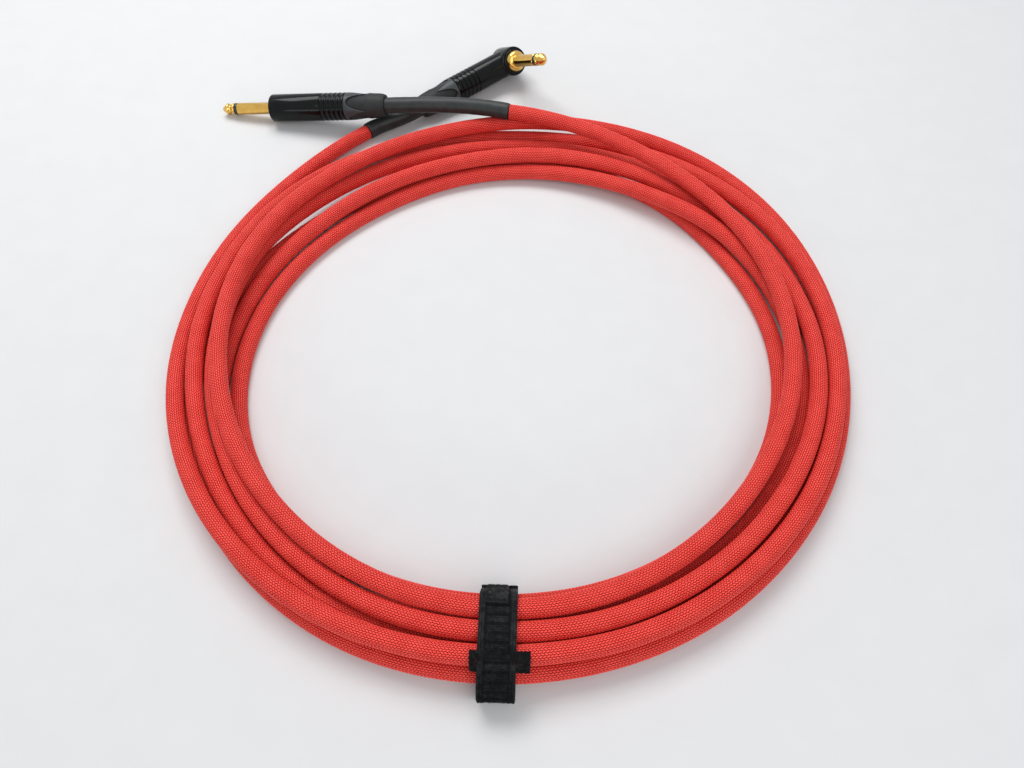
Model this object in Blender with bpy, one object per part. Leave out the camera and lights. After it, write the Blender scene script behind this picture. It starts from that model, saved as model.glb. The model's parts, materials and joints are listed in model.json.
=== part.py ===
"""Instrument cable: a red braided lead laid in seven turns on the floor, a straight quarter-inch plug at
one end, a right-angle one at the other, and a hook-and-loop tie round the bundle.

Metres, +Z up, +X to the right and +Y away from the viewer. The origin is the bottom centre of the whole
part, and COIL_AT is the middle of the coil. Lengths in tables are millimetres, scaled by MM."""
import math
from itertools import product

import bmesh
import bpy
import numpy as np
from mathutils import Matrix, Vector

MM = 0.001
GAP = 0.3 * MM                   # clearance between pieces that touch

# Lead
CORD_D = 7.5 * MM                # over the braided sleeve
TURNS = 7
POINTS_PER_TURN = 24
STATIONS = 8                     # places round a turn where its radius is chosen
END_POINTS_CUT = 2               # the last turn stops this many points short of closing
FLAT_CUT = 0.1 * CORD_D          # the lowest turns are cut flat this deep where they lie on the floor
TURN_SPACING = CORD_D + 0.8 * MM
LAYER_RISE = 7.2 * MM            # height of one layer of turns over the next
COIL_AT = (3.56 * MM, -15.18 * MM)

# Radius of each turn in mm at its eight stations, clockwise from the far side: far, far right, right,
# near right, near, near left, left, far left. The turns wander and cross as they were laid by hand.
TURN_RADII = (
    (132.5, 120.5, 124.5, 129.5, 136.3, 132.5, 127.5, 126),
    (132.5, 146.3, 148, 151, 152.5, 151, 136, 112),
    (110, 111.5, 121, 130, 132.9, 132.5, 121.3, 104.2),
    (103.5, 109, 129, 137, 139.4, 139.3, 123.5, 109),
    (107, 118, 134, 140.5, 143, 137.5, 128.5, 123),
    (122.5, 131, 141, 145, 147.2, 143, 139, 139),
    (131.5, 141, 145, 149.5, 150.9, 150, 145.5, 148.5),
)
RADIUS_PAST_END = 174            # the last turn swings out towards the right-angle plug
# Layer that each turn lies on at the same stations, 0 on the floor. The turns settle from here.
TURN_LAYERS = (
    (2.3, 1.6, 1.5, 1, 1, 1, 1.1, 1.2),
    (1.1, 0, 0, 0, 0, 0, 0, 0),
    (0, 0, 0, 0, 0, 0, 0, 0),
    (0, 1, 0, 0, 0, 0, 1, 1),
    (1, 0.5, 1, 1, 1, 1, 1, 0.3),
    (0, 0, 0, 0, 0, 0.3, 1, 0),
    (0, 0.5, 1, 1, 1, 1, 0.7, 0),
)
LAYER_PAST_END = 0.5

# Tie
TIE_DEG = 268.3                  # compass angle of the tie on the coil
TIE_W = 14.8 * MM
TIE_PLY = 0.9 * MM
TIE_FLOOR_GAP = 0.2 * MM
TIE_LIFT = 3.8 * MM              # the bundle rides this much higher over the tie's two plies
TIE_LIFT_DEG = 32                # and comes down again this many degrees to each side
TAB_ROOT_DEG = 165               # direction out of the bundle where the loose end starts
TAB_FLAT_L = 7.5 * MM            # and how far it lies across the top
TAB_W = 9.2 * MM
TAB_ASIDE = -0.6 * MM            # sideways from the middle of the band
HEAD_DEG = 38                    # direction out of the bundle at the middle of the tie's head
TIE_HEAD_L = 7.2 * MM
TIE_HEAD_W = 21.5 * MM
TIE_HEAD_ASIDE = 1.7 * MM
SLOT_L = 3.4 * MM                # of the slot in the head, along the strap

# Plug finger, quarter-inch two-pole
FINGER_D = 6.35 * MM
FINGER_L = 30.3 * MM
TIP_L = 6.2 * MM
RING_L = 1.3 * MM                # visible width of the black insulating ring
ROD_R = 1.1 * MM
INSULATOR_WALL = 0.55 * MM

# Plug bodies
SHELL_R = 7.25 * MM
SHELL_L = 43 * MM
SHELL_WALL = 1.15 * MM
SPIGOT_R = 5.2 * MM              # the boot screws over this
SPIGOT_L = 5.5 * MM
SPIGOT_BORE = 4.3 * MM
CHAMBER_END = -8 * MM            # the wide room inside a body ends this far before its rear face
RIBS = 5
RIB_PITCH = 2.7 * MM
RIB_DEPTH = 0.55 * MM
BOOT_L = 22.5 * MM
BOOT_R = 6.35 * MM               # soft boot under its collar
BOOT_TRAVEL = 4 * MM
SHRINK_R = 4.2 * MM
JACKET_R = 3.2 * MM

# Places, measured from the middle of the coil
STRAIGHT_TIP = Vector((-160.4, 153.9, 3.45)) * MM
STRAIGHT_ALONG = Vector((0.984, -0.135, 0.135))      # from the tip towards the lead
ANGLE_HEAD = Vector((-0.9, 186.8, 10.5)) * MM         # where finger and barrel axes cross
ANGLE_BARREL = Vector((-0.798, -0.597, -0.060))      # from the head towards the lead
ANGLE_FINGER = Vector((-0.477, 0.692, -0.536))       # from the tip towards the head
BARREL_L = 37.5 * MM             # right-angle head to the rear face of its barrel
HEAD_R = 7.8 * MM
HEAD_FRONT = 7.7 * MM            # barrel axis to the head's front face
HEAD_BACK = 7.0 * MM
HEAD_FACE_INSET = 3.9 * MM       # the head's front face lies this far behind the finger's seat
SHELL_SIDES = 32
INNER_SIDES = 20


def clear_scene():
    for item in list(bpy.data.objects):
        bpy.data.objects.remove(item, do_unlink=True)


def look(name, colour, roughness, metallic=0.0):
    made = bpy.data.materials.new(name)
    made.use_nodes = True
    shader = made.node_tree.nodes["Principled BSDF"]
    shader.inputs["Base Color"].default_value = (*colour, 1.0)
    shader.inputs["Roughness"].default_value = roughness
    shader.inputs["Metallic"].default_value = metallic
    made.diffuse_color = (*colour, 1.0)
    return made


def empty(name, frame, parent=None):
    made = bpy.data.objects.new(name, None)
    bpy.context.collection.objects.link(made)
    made.parent = parent
    made.matrix_local = frame
    return made


def frame_at(origin, along, up=(0, 0, 1)):
    """A frame whose +X runs along and whose +Z leans towards up."""
    x = Vector(along).normalized()
    y = Vector(up).cross(x).normalized()
    z = x.cross(y)
    return Matrix.Translation(origin) @ Matrix((x, y, z)).transposed().to_4x4()


def piece(name, bm, finish, parent, at=(0, 0, 0)):
    """Turn a bmesh into a named object under its parent, with its faces pointing out."""
    bmesh.ops.remove_doubles(bm, verts=bm.verts, dist=0.001 * MM)
    bmesh.ops.recalc_face_normals(bm, faces=bm.faces)
    mesh = bpy.data.meshes.new(name)
    bm.to_mesh(mesh)
    bm.free()
    mesh.shade_smooth()
    mesh.set_sharp_from_angle(angle=math.radians(35))
    mesh.materials.append(finish)
    made = bpy.data.objects.new(name, mesh)
    bpy.context.collection.objects.link(made)
    made.parent = parent
    made.location = at
    return made


def boolean(target, tool, operation="DIFFERENCE"):
    """Cut target with tool, or join them, and keep tool out of the model."""
    step = target.modifiers.new(tool.name, "BOOLEAN")
    step.operation = operation
    step.object = tool
    tool.hide_render = True
    tool.display_type = "WIRE"


def turned(profile, sides):
    """A solid turned about +X from (x, radius) pairs that run round its section.
    A section that starts and ends on the axis is solid there, and any other is a closed loop."""
    bm = bmesh.new()
    rings = []
    for x, radius in profile:
        angles = [math.tau * i / sides for i in range(sides if radius else 1)]
        rings.append([bm.verts.new((x, radius * math.cos(a), radius * math.sin(a))) for a in angles])
    pairs = list(zip(rings, rings[1:]))
    if profile[0][1]:
        pairs.append((rings[-1], rings[0]))
    for (one, two), i in product(pairs, range(sides)):
        corners = [one[i % len(one)], one[(i + 1) % len(one)], two[(i + 1) % len(two)], two[i % len(two)]]
        bm.faces.new(list(dict.fromkeys(corners)))
    return bm


def block(low, high):
    bm = bmesh.new()
    bmesh.ops.create_cube(bm, size=1.0)
    for vert in bm.verts:
        vert.co = [a + (c + 0.5) * (b - a) for a, b, c in zip(low, high, vert.co)]
    return bm


def tube(points, radius, resolution):
    """A round bar along points, from a bevelled curve with filled ends."""
    curve = bpy.data.curves.new("route", "CURVE")
    curve.dimensions = "3D"
    curve.bevel_depth = radius
    curve.bevel_resolution = resolution
    curve.use_fill_caps = True
    curve.render_resolution_u = 0
    line = curve.splines.new("POLY")
    line.points.add(len(points) - 1)
    for knot, point in zip(line.points, points):
        knot.co = (*point, 1.0)
    guide = bpy.data.objects.new("route", curve)
    bpy.context.collection.objects.link(guide)
    drawn = guide.evaluated_get(bpy.context.evaluated_depsgraph_get())
    mesh = bpy.data.meshes.new_from_object(drawn)
    bm = bmesh.new()
    bm.from_mesh(mesh)
    bpy.data.objects.remove(guide, do_unlink=True)
    bpy.data.meshes.remove(mesh)
    return bm


def smooth_through(values):
    """A natural cubic spline through equally spaced values, as a function of their index."""
    values = np.asarray(values, float)
    count = len(values)
    rows = np.diag([4.0] * count) + np.diag([1.0] * (count - 1), 1) + np.diag([1.0] * (count - 1), -1)
    rows[0, 0] = rows[-1, -1] = 2.0
    padded = np.concatenate([values[:1], values, values[-1:]])
    slopes = np.linalg.solve(rows, 3 * (padded[2:] - padded[:-2]))

    def at(t):
        i = np.clip(np.floor(t).astype(int), 0, count - 2)
        u = t - i
        return ((2 * u**3 - 3 * u**2 + 1) * values[i] + (u**3 - 2 * u**2 + u) * slopes[i]
                + (3 * u**2 - 2 * u**3) * values[i + 1] + (u**3 - u**2) * slopes[i + 1])
    return at


def press_apart(radius, height, spacing):
    """Push neighbouring turns apart wherever their centre lines come closer than spacing.
    Both ends of each segment move, so the straight segments between points clear each other too."""
    count = len(radius)
    for step, share in product(range(POINTS_PER_TURN, count, POINTS_PER_TURN), (0.0, 0.25, 0.5, 0.75)):
        span = count - step - 1
        weights = ((1 - share, 0), (share, 1))
        first = [sum(w * line[o:o + span] for w, o in weights) for line in (radius, height)]
        second = [sum(w * line[step + o:step + o + span] for w, o in weights) for line in (radius, height)]
        apart = [b - a for a, b in zip(first, second)]
        distance = np.hypot(*apart) + 1e-9
        push = 0.45 * np.maximum(0, spacing - distance) / (share**2 + (1 - share)**2) / distance
        for line, offset in zip((radius, height), apart):
            for weight, o in weights:
                line[o:o + span] -= weight * push * offset
                line[step + o:step + o + span] += weight * push * offset


def lead_route():
    """Points along the middle of the lead, clockwise from the straight plug, about the coil's middle.
    The turns start from their chosen radii and layers, then sink and settle on each other."""
    settle_steps, press_steps, sink = 380, 120, 0.06 * MM
    count = TURNS * POINTS_PER_TURN - END_POINTS_CUT + 1
    index = np.arange(count)
    station = index * STATIONS / POINTS_PER_TURN
    degrees = 90 - index * 360 / POINTS_PER_TURN
    from_tie = (degrees - TIE_DEG + 180) % 360 - 180
    lift = np.cos(np.clip(from_tie / TIE_LIFT_DEG, -1, 1) * math.pi / 2) ** 2
    floor = CORD_D / 2 - FLAT_CUT + TIE_LIFT * lift
    floor[-1] = SHRINK_R + GAP / 2
    radii = [r for turn in TURN_RADII for r in turn] + [RADIUS_PAST_END]
    layers = [n for turn in TURN_LAYERS for n in turn] + [LAYER_PAST_END]
    chosen = smooth_through(radii)(station) * MM
    radius = chosen.copy()
    height = floor + np.interp(station, np.arange(len(layers)), layers) * LAYER_RISE
    for step in range(settle_steps + press_steps):
        if step < settle_steps:
            height -= sink
            shift = radius - chosen
            shift[1:-1] = 0.5 * shift[1:-1] + 0.25 * (shift[:-2] + shift[2:])
            radius = chosen + 0.94 * shift
            height[1:-1] = 0.6 * height[1:-1] + 0.2 * (height[:-2] + height[2:])
        press_apart(radius, height, TURN_SPACING)
        height = np.maximum(height, floor)
    angle = np.radians(degrees)
    return np.stack([radius * np.cos(angle), radius * np.sin(angle), height], axis=1)


def segment_distance(a, b, c, d):
    """Least distance between the segments a-b and c-d."""
    ab, cd, ca = b - a, d - c, a - c
    aa, ac, cc, ap, cp = ab @ ab, ab @ cd, cd @ cd, ab @ ca, cd @ ca
    spread = aa * cc - ac * ac
    s = np.clip((ac * cp - cc * ap) / spread, 0, 1) if spread > 1e-18 else 0.0
    t = np.clip((ac * s + cp) / cc, 0, 1)
    s = np.clip((ac * t - ap) / aa, 0, 1)
    return np.linalg.norm(ca + s * ab - t * cd)


def least_gap(points):
    """Clear distance between the lead's turns, from all pairs of segments half a turn or more apart."""
    near = POINTS_PER_TURN // 2
    best = 1.0
    for i, j in product(range(len(points) - 1), repeat=2):
        if j - i >= near and np.linalg.norm(points[i] - points[j]) < 10 * CORD_D:
            best = min(best, segment_distance(points[i], points[i + 1], points[j], points[j + 1]))
    return best - CORD_D


def lead_coil(points, finish, parent):
    coil = piece("sleeve_coil", tube(points, CORD_D / 2, 1), finish, parent)
    reach = 0.2
    floor = piece("floor_cut", block((-reach, -reach, -0.01), (reach, reach, 0.0)), finish, parent)
    boolean(coil, floor)
    print(f"least gap between turns {least_gap(points) / MM:.2f} mm, length {route_length(points):.3f} m")
    return coil


def route_length(points):
    return float(np.linalg.norm(np.diff(points, axis=0), axis=1).sum())


def bend(start, along, end, towards, steps):
    """Points of a smooth bend from start, leaving along, to end, arriving towards."""
    reach = (end - start).length
    points = []
    for step in range(steps + 1):
        u = step / steps
        points.append((2 * u**3 - 3 * u**2 + 1) * start + (u**3 - 2 * u**2 + u) * reach * along
                      + (3 * u**2 - 2 * u**3) * end + (u**3 - u**2) * reach * towards)
    return points


def scaled(*pairs):
    """A section given in mm, in metres."""
    return [(x * MM, radius * MM) for x, radius in pairs]


def finger(plug, frame, parent, seat, neck_end, looks):
    """The contact finger along +X, its tip at x = -FINGER_L and the jack's face at x = 0.
    seat is the section of the sleeve contact behind x = 0, down to its neck at neck_end."""
    holder = empty(f"{plug}_finger", frame, parent)
    r = FINGER_D / 2
    tube_r = ROD_R + GAP + INSULATOR_WALL
    bore_r = tube_r + GAP
    tip_back = TIP_L - FINGER_L
    ring_front = tip_back + GAP
    barrel_front = ring_front + RING_L + GAP
    rod_end = neck_end + 7 * GAP
    nose = [(0, 0), (0.1, 0.8), (0.6, 1.7), (1.6, 2.6), (2.6, 3.05), (3.3, 3.15), (4.0, 3.0), (4.8, 2.4),
            (5.2, 2.25), (5.6, 2.4), (6.1, 3.0)]
    profile = [(x * MM * TIP_L / (6.2 * MM) - FINGER_L, y * MM * r / (3.175 * MM)) for x, y in nose]
    profile += [(tip_back, 0.93 * r), (tip_back, ROD_R), (rod_end, ROD_R), (rod_end, 0)]
    piece(f"tip_contact_{plug}", turned(profile, INNER_SIDES), looks["gold"], holder)
    profile = [(ring_front, ROD_R + GAP), (ring_front, 0.97 * r), (ring_front + RING_L, 0.97 * r),
               (ring_front + RING_L, tube_r), (neck_end, tube_r), (neck_end, ROD_R + GAP)]
    piece(f"tip_insulator_{plug}", turned(profile, INNER_SIDES), looks["black_plastic"], holder)
    profile = [(barrel_front, bore_r), (barrel_front, 0.95 * r), (barrel_front + 0.2 * MM, r)]
    profile += seat + [(neck_end, bore_r)]
    piece(f"sleeve_contact_{plug}", turned(profile, INNER_SIDES), looks["gold"], holder)
    washer_r = 4.1 * MM
    profile = [(neck_end + GAP, ROD_R + GAP), (neck_end + GAP, washer_r),
               (neck_end + 5 * GAP, washer_r), (neck_end + 5 * GAP, ROD_R + GAP)]
    piece(f"rear_insulator_{plug}", turned(profile, INNER_SIDES), looks["black_plastic"], holder)
    return holder, rod_end + GAP


def barrel_outline(length, front_radius):
    """The outside of a plug body from its front to the end of its spigot, with x = 0 at its rear face."""
    edge = 0.8 * MM
    groove = 0.45 * RIB_PITCH
    outline = [(-length, front_radius), (-length, SHELL_R - edge)]
    outline += [(-length + 0.3 * edge, SHELL_R - 0.3 * edge), (-length + edge, SHELL_R)]
    for rib in range(RIBS):
        x = (rib - RIBS) * RIB_PITCH
        outline += [(x, SHELL_R), (x + 0.15 * groove, SHELL_R - RIB_DEPTH)]
        outline += [(x + groove, SHELL_R - RIB_DEPTH), (x + 1.15 * groove, SHELL_R)]
    return outline + [(0, SHELL_R), (0, SPIGOT_R), (SPIGOT_L, SPIGOT_R)]


def prong_edge(degrees, base, tip):
    """How far back the collar reaches at an angle: four points with a rounded U between each pair."""
    from_middle = abs((degrees % 90) - 45) / 45
    return base + (tip - base) * from_middle ** 2.4


def boot_collar(plug, holder, prong_deg, finish):
    """Hard ring that screws to the shell, cut into four points over the soft boot."""
    columns, rows = 48, (0, 0.35, 0.7, 1)
    front, base, tip = GAP, 1.9 * MM, 12 * MM
    outer, outer_tip, inner = SHELL_R, SHELL_R - 0.3 * MM, BOOT_R + GAP
    bm = bmesh.new()
    grid = []
    for column in range(columns):
        degrees = 360 * column / columns
        angle = math.radians(degrees + prong_deg)
        edge = prong_edge(degrees, base, tip)
        xs = [front + row * (edge - front) for row in rows]
        section = [(x, outer + (outer_tip - outer) * (x - front) / (tip - front)) for x in xs]
        section += [(x, inner) for x in reversed(xs)]
        grid.append([bm.verts.new((x, r * math.cos(angle), r * math.sin(angle))) for x, r in section])
    for one, two in zip(grid, grid[1:] + grid[:1]):
        for i in range(len(one)):
            j = (i + 1) % len(one)
            bm.faces.new((one[i], one[j], two[j], two[i]))
    piece(f"boot_collar_{plug}", bm, finish, holder)


def rear_end(plug, frame, parent, lead_end, arriving, prong_deg, looks):
    """Chuck, screwed boot, cable end and heat-shrink behind a plug body whose rear face is at x = 0."""
    holder = empty(f"{plug}_rear", frame, parent)
    chuck_front, chuck_back, chuck_r, grip_r = -6 * MM, 10 * MM, SPIGOT_BORE - GAP, JACKET_R + GAP
    profile = [(chuck_front, grip_r), (chuck_front, chuck_r), (chuck_back - 3 * MM, chuck_r),
               (chuck_back, chuck_r - 0.3 * MM), (chuck_back, grip_r)]
    chuck = piece(f"chuck_{plug}", turned(profile, INNER_SIDES), looks["grey_plastic"], holder)
    slit, slit_front, past = 0.4 * MM, 2 * MM, 1 * MM
    for name, low, high in (("slit_y", (slit_front, -SHELL_R, -slit), (chuck_back + past, SHELL_R, slit)),
                            ("slit_z", (slit_front, -slit, -SHELL_R), (chuck_back + past, slit, SHELL_R))):
        boolean(chuck, piece(f"{name}_{plug}", block(low, high), looks["grey_plastic"], holder))
    thread_r, throat_r, rear_r = SPIGOT_R + GAP, SPIGOT_BORE, SHRINK_R + GAP
    throat = SPIGOT_L + 0.7 * MM
    x = (0.8 * MM, 12 * MM, 13.4 * MM, 18 * MM)
    profile = [(x[0], thread_r), (x[0], BOOT_R), (x[1], BOOT_R), (x[2], BOOT_R + 0.25 * MM), (x[3], BOOT_R)]
    profile += [(BOOT_L - 1 * MM, BOOT_R - 0.35 * MM), (BOOT_L, BOOT_R - 0.8 * MM), (BOOT_L, rear_r)]
    profile += [(throat + 5 * MM, rear_r), (throat + 4.2 * MM, throat_r), (throat + 0.8 * MM, throat_r),
                (throat, thread_r)]
    piece(f"boot_sleeve_{plug}", turned(profile, SHELL_SIDES), looks["soft_black"], holder)
    boot_collar(plug, holder, prong_deg, looks["collar_grey"])
    jacket_front, shrink_front, straight_to = -16 * MM, 16.5 * MM, BOOT_L + BOOT_TRAVEL + 1.5 * MM
    along = (frame.to_3x3() @ Vector((1, 0, 0))).normalized()
    on_axis = [frame @ Vector((x, 0, 0)) for x in (jacket_front, shrink_front, straight_to)]
    curve = bend(on_axis[2], along, lead_end - GAP * arriving, arriving, 8)
    piece(f"cable_jacket_{plug}", tube(on_axis[:2] + curve, JACKET_R, 2), looks["soft_black"], parent)
    sleeve = tube(on_axis[1:2] + curve, SHRINK_R, 4)
    shrink = piece(f"heat_shrink_{plug}", sleeve, looks["heat_shrink"], parent)
    before = on_axis[1] - 2 * MM * along
    bore = tube([before] + curve + [curve[-1] + 2 * MM * arriving], JACKET_R + GAP, 4)
    boolean(shrink, piece(f"shrink_bore_{plug}", bore, looks["heat_shrink"], parent))
    return on_axis[0]


def straight_plug(parent, lead_end, arriving, looks):
    along = STRAIGHT_ALONG.normalized()
    seat_at = STRAIGHT_TIP + FINGER_L * along
    frame = frame_at(seat_at, along)
    neck_r, collar_r, flange_r, wall, flange = 3.2 * MM, 3.7 * MM, 5.4 * MM, 3 * MM, 2.6 * MM
    neck_end = GAP + wall + flange
    seat = [(-4 * GAP, FINGER_D / 2), (-4 * GAP, collar_r), (-GAP, collar_r), (-GAP, neck_r),
            (wall + GAP, neck_r), (wall + GAP, flange_r), (neck_end, flange_r)]
    holder, lug_at = finger("straight", frame, parent, seat, neck_end, looks)
    rear = frame_at(seat_at + SHELL_L * along, along)
    jacket = rear_end("straight", rear, parent, lead_end, arriving, 78, looks)
    inner_r = SHELL_R - SHELL_WALL
    profile = barrel_outline(SHELL_L, neck_r + 3 * GAP) + [
        (SPIGOT_L, SPIGOT_BORE), (CHAMBER_END, SPIGOT_BORE), (CHAMBER_END, inner_r),
        (wall - SHELL_L, inner_r), (wall - SHELL_L, neck_r + GAP), (-SHELL_L, neck_r + GAP)]
    rear_holder = empty("straight_shell", rear, parent)
    piece("shell_straight", turned(profile, SHELL_SIDES), looks["gloss_black"], rear_holder)
    plate, tongue, width, wire_r = 0.8 * MM, 7.4 * MM, 1.2 * MM, 1.1 * MM
    tongue_z, lug_clear = wire_r + GAP, 3 * MM
    inside = frame.inverted() @ jacket
    bm = block((lug_at, -width, tongue_z), (lug_at + plate + tongue, width, tongue_z + plate))
    lug = piece("tip_lug_straight", bm, looks["tinned"], holder)
    foot = block((lug_at, -width, -2 * width), (lug_at + plate, width, tongue_z + 0.5 * plate))
    boolean(lug, piece("tip_lug_foot", foot, looks["tinned"], holder), "UNION")
    strip_low, strip_high, strip_w = -inner_r + 0.6 * MM, -inner_r + 1.4 * MM, 1.7 * MM
    bm = block((neck_end + GAP, -strip_w, strip_low), (inside.x - lug_clear, strip_w, strip_high))
    piece("ground_lug_straight", bm, looks["tinned"], holder)
    start = frame @ Vector((lug_at + plate + GAP, 0, 0))
    core = tube([start, jacket - GAP * along], wire_r, 1)
    piece("core_wire_straight", core, looks["wire_white"], parent)
    tail_r = 0.8 * MM
    tail_z = strip_high + GAP + tail_r
    tail = [(inside.x - GAP, 0, -2.2 * MM), (inside.x - 4 * MM, 0, tail_z + 0.3 * MM),
            (inside.x - 8 * MM, 0, tail_z)]
    shield = tube([frame @ Vector(p) for p in tail], tail_r, 1)
    piece("shield_tail_straight", shield, looks["copper"], parent)


def angle_plug(parent, lead_end, arriving, looks):
    barrel = ANGLE_BARREL.normalized()
    finger_along = (ANGLE_FINGER - ANGLE_FINGER.dot(barrel) * barrel).normalized()
    axis_at = HEAD_FACE_INSET + HEAD_FRONT
    frame = frame_at(ANGLE_HEAD - axis_at * finger_along, finger_along, barrel)
    rear = frame_at(ANGLE_HEAD + BARREL_L * barrel, barrel)
    jacket = rear_end("angle", rear, parent, lead_end, arriving, 30, looks)
    neck_r, ring_r, recess, hole_r = 3.2 * MM, 6.6 * MM, 1.3 * MM, 3.5 * MM
    ring_back = HEAD_FACE_INSET + recess - GAP
    wall_back = HEAD_FACE_INSET + recess + 1.8 * MM
    neck_end = wall_back + 1 * MM
    seat = [(0, FINGER_D / 2)] + scaled((0, 4.3), (0.7, 5.0), (1.8, 5.5), (3.0, 5.6), (3.0, 3.2)) + [
        (neck_end, neck_r)]
    holder, lug_at = finger("angle", frame, parent, seat, neck_end, looks)
    profile = [(3 * MM + GAP, hole_r), (3 * MM + GAP, ring_r - 0.5 * MM), (3.8 * MM, ring_r),
               (ring_back, ring_r), (ring_back, hole_r)]
    piece("face_ring_angle", turned(profile, SHELL_SIDES), looks["gloss_black"], holder)
    face, back, edge = HEAD_FACE_INSET, axis_at + HEAD_BACK, 1.2 * MM
    rim = ((0, edge), (0.3 * edge, 0.3 * edge), (edge, 0))
    profile = [(face, 0)] + [(face + x, HEAD_R - r) for x, r in rim]
    profile += [(back - x, HEAD_R - r) for x, r in reversed(rim)] + [(back, 0)]
    housing = piece("housing_angle", turned(profile, SHELL_SIDES), looks["gloss_black"], holder)
    rear_holder = empty("angle_barrel", rear, parent)
    profile = barrel_outline(BARREL_L, 0) + [(SPIGOT_L, 0)]
    outside = piece("barrel_outside", turned(profile, SHELL_SIDES), looks["gloss_black"], rear_holder)
    boolean(housing, outside, "UNION")
    cavity_r, past = 5.8 * MM, 1 * MM
    cavity_end = back - 2 * MM
    profile = [(face - past, 0), (face - past, ring_r + GAP), (face + recess, ring_r + GAP),
               (face + recess, hole_r), (wall_back, hole_r), (wall_back, cavity_r),
               (cavity_end, cavity_r), (cavity_end, 0)]
    boolean(housing, piece("head_cavity", turned(profile, SHELL_SIDES), looks["gloss_black"], holder))
    way_r, way_end, bore_r = 5.0 * MM, 9 * MM - BARREL_L, SHELL_R - SHELL_WALL
    profile = [(-BARREL_L, 0), (-BARREL_L, way_r), (way_end, way_r), (way_end, bore_r),
               (CHAMBER_END, bore_r), (CHAMBER_END, SPIGOT_BORE), (SPIGOT_L + past, SPIGOT_BORE),
               (SPIGOT_L + past, 0)]
    boolean(housing, piece("barrel_bore", turned(profile, SHELL_SIDES), looks["gloss_black"], rear_holder))
    plate, width, wire_r = 0.8 * MM, 1.2 * MM, 1.1 * MM
    inside = frame.inverted() @ jacket
    bm = block((lug_at, -width, -2 * width), (lug_at + plate, width, inside.z - 12.5 * MM))
    piece("tip_lug_angle", bm, looks["tinned"], holder)
    lug_back = wall_back + GAP
    profile = [(lug_back, hole_r), (lug_back, 5 * MM), (neck_end, 5 * MM), (neck_end, hole_r)]
    ground = piece("ground_lug_angle", turned(profile, INNER_SIDES), looks["tinned"], holder)
    tail = block((lug_back, -1.7 * MM, 4.2 * MM), (neck_end, 1.7 * MM, inside.z - 2.5 * MM))
    boolean(ground, piece("ground_lug_tail", tail, looks["tinned"], holder), "UNION")
    wire_x = lug_at + plate + GAP + wire_r
    core = [(wire_x, 0, 3 * MM), (wire_x, 0, inside.z - 11.5 * MM), (axis_at, 0, inside.z - 3.5 * MM),
            (axis_at, 0, inside.z - GAP)]
    piece("core_wire_angle", tube([frame @ Vector(p) for p in core], wire_r, 1), looks["wire_white"], parent)
    tail_r = 0.8 * MM
    tail_x = neck_end + GAP + tail_r
    tail = [(axis_at - 2.2 * MM, 0, inside.z - GAP), (tail_x, 0, inside.z - 5 * MM),
            (tail_x, 0, inside.z - 12 * MM)]
    shield = tube([frame @ Vector(p) for p in tail], tail_r, 1)
    piece("shield_tail_angle", shield, looks["copper"], parent)


def tie_section(points):
    """Centres of the lead's strands, as (distance from the coil's middle, height), under the tie."""
    half = math.degrees(TIE_W / 2 / 0.126)
    strands = []
    for degrees in np.linspace(TIE_DEG - half, TIE_DEG + half, 9):
        place = (90 - degrees) % 360 * POINTS_PER_TURN / 360
        for turn in range(TURNS):
            i = int(turn * POINTS_PER_TURN + place)
            if i + 1 < len(points):
                x, y, z = points[i] + (place % 1) * (points[i + 1] - points[i])
                strands.append((math.hypot(x, y) * math.cos(math.radians(degrees - TIE_DEG)), z))
    return np.array(strands)


def round_bundle(strands, degrees, distance):
    """The point that far outside the bundle's strands in a direction of the tie's section."""
    way = np.array((math.cos(math.radians(degrees)), math.sin(math.radians(degrees))))
    return strands[np.argmax(strands @ way)] + (CORD_D / 2 + distance) * way


def strip(path, width, thickness, middle=0.0):
    """A flat strap of even thickness that follows a path in the XZ plane, its width along Y."""
    path = np.array(path)
    runs = np.diff(path, axis=0)
    runs /= np.linalg.norm(runs, axis=1)[:, None]
    sides = np.stack([-runs[:, 1], runs[:, 0]], axis=1)
    corner = np.concatenate([sides[:1], sides[:-1] + sides[1:], sides[-1:]])
    corner /= np.linalg.norm(corner, axis=1)[:, None]
    scale = np.concatenate([[1.0], 1 / (corner[1:-1] * sides[1:]).sum(axis=1), [1.0]])
    offset = corner * (scale * thickness / 2)[:, None]
    bm = bmesh.new()
    ends = []
    for point, side in zip(path, offset):
        low, high = point - side, point + side
        ends.append([bm.verts.new((p[0], middle + y * width / 2, p[1]))
                     for p, y in ((low, -1), (high, -1), (high, 1), (low, 1))])
    for one, two in zip(ends, ends[1:]):
        for i in range(4):
            j = (i + 1) % 4
            bm.faces.new((one[i], one[j], two[j], two[i]))
    bm.faces.new(ends[0])
    bm.faces.new(ends[-1])
    return bm


def bundle_wrap(strands):
    """A way round the bundle, clockwise from the head of the tie. Gives the point at a distance run and
    a distance out, the distance run at a direction out of the bundle, and the distances of its corners."""
    degrees = np.linspace(HEAD_DEG, HEAD_DEG - 360, 25)
    corners = np.array([round_bundle(strands, angle, 0.0) for angle in degrees])
    run = np.concatenate([[0.0], np.cumsum(np.linalg.norm(np.diff(corners, axis=0), axis=1))])
    lowest = TIE_FLOOR_GAP + TIE_PLY / 2

    def at(distance, out):
        along = distance % run[-1]
        angle = math.radians(np.interp(along, run, degrees))
        x = np.interp(along, run, corners[:, 0]) + out * math.cos(angle)
        z = np.interp(along, run, corners[:, 1]) + out * math.sin(angle)
        return x, max(z, lowest)

    def run_to(direction):
        return float(np.interp((HEAD_DEG - direction) % 360, HEAD_DEG - degrees, run))
    return at, run_to, run


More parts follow.
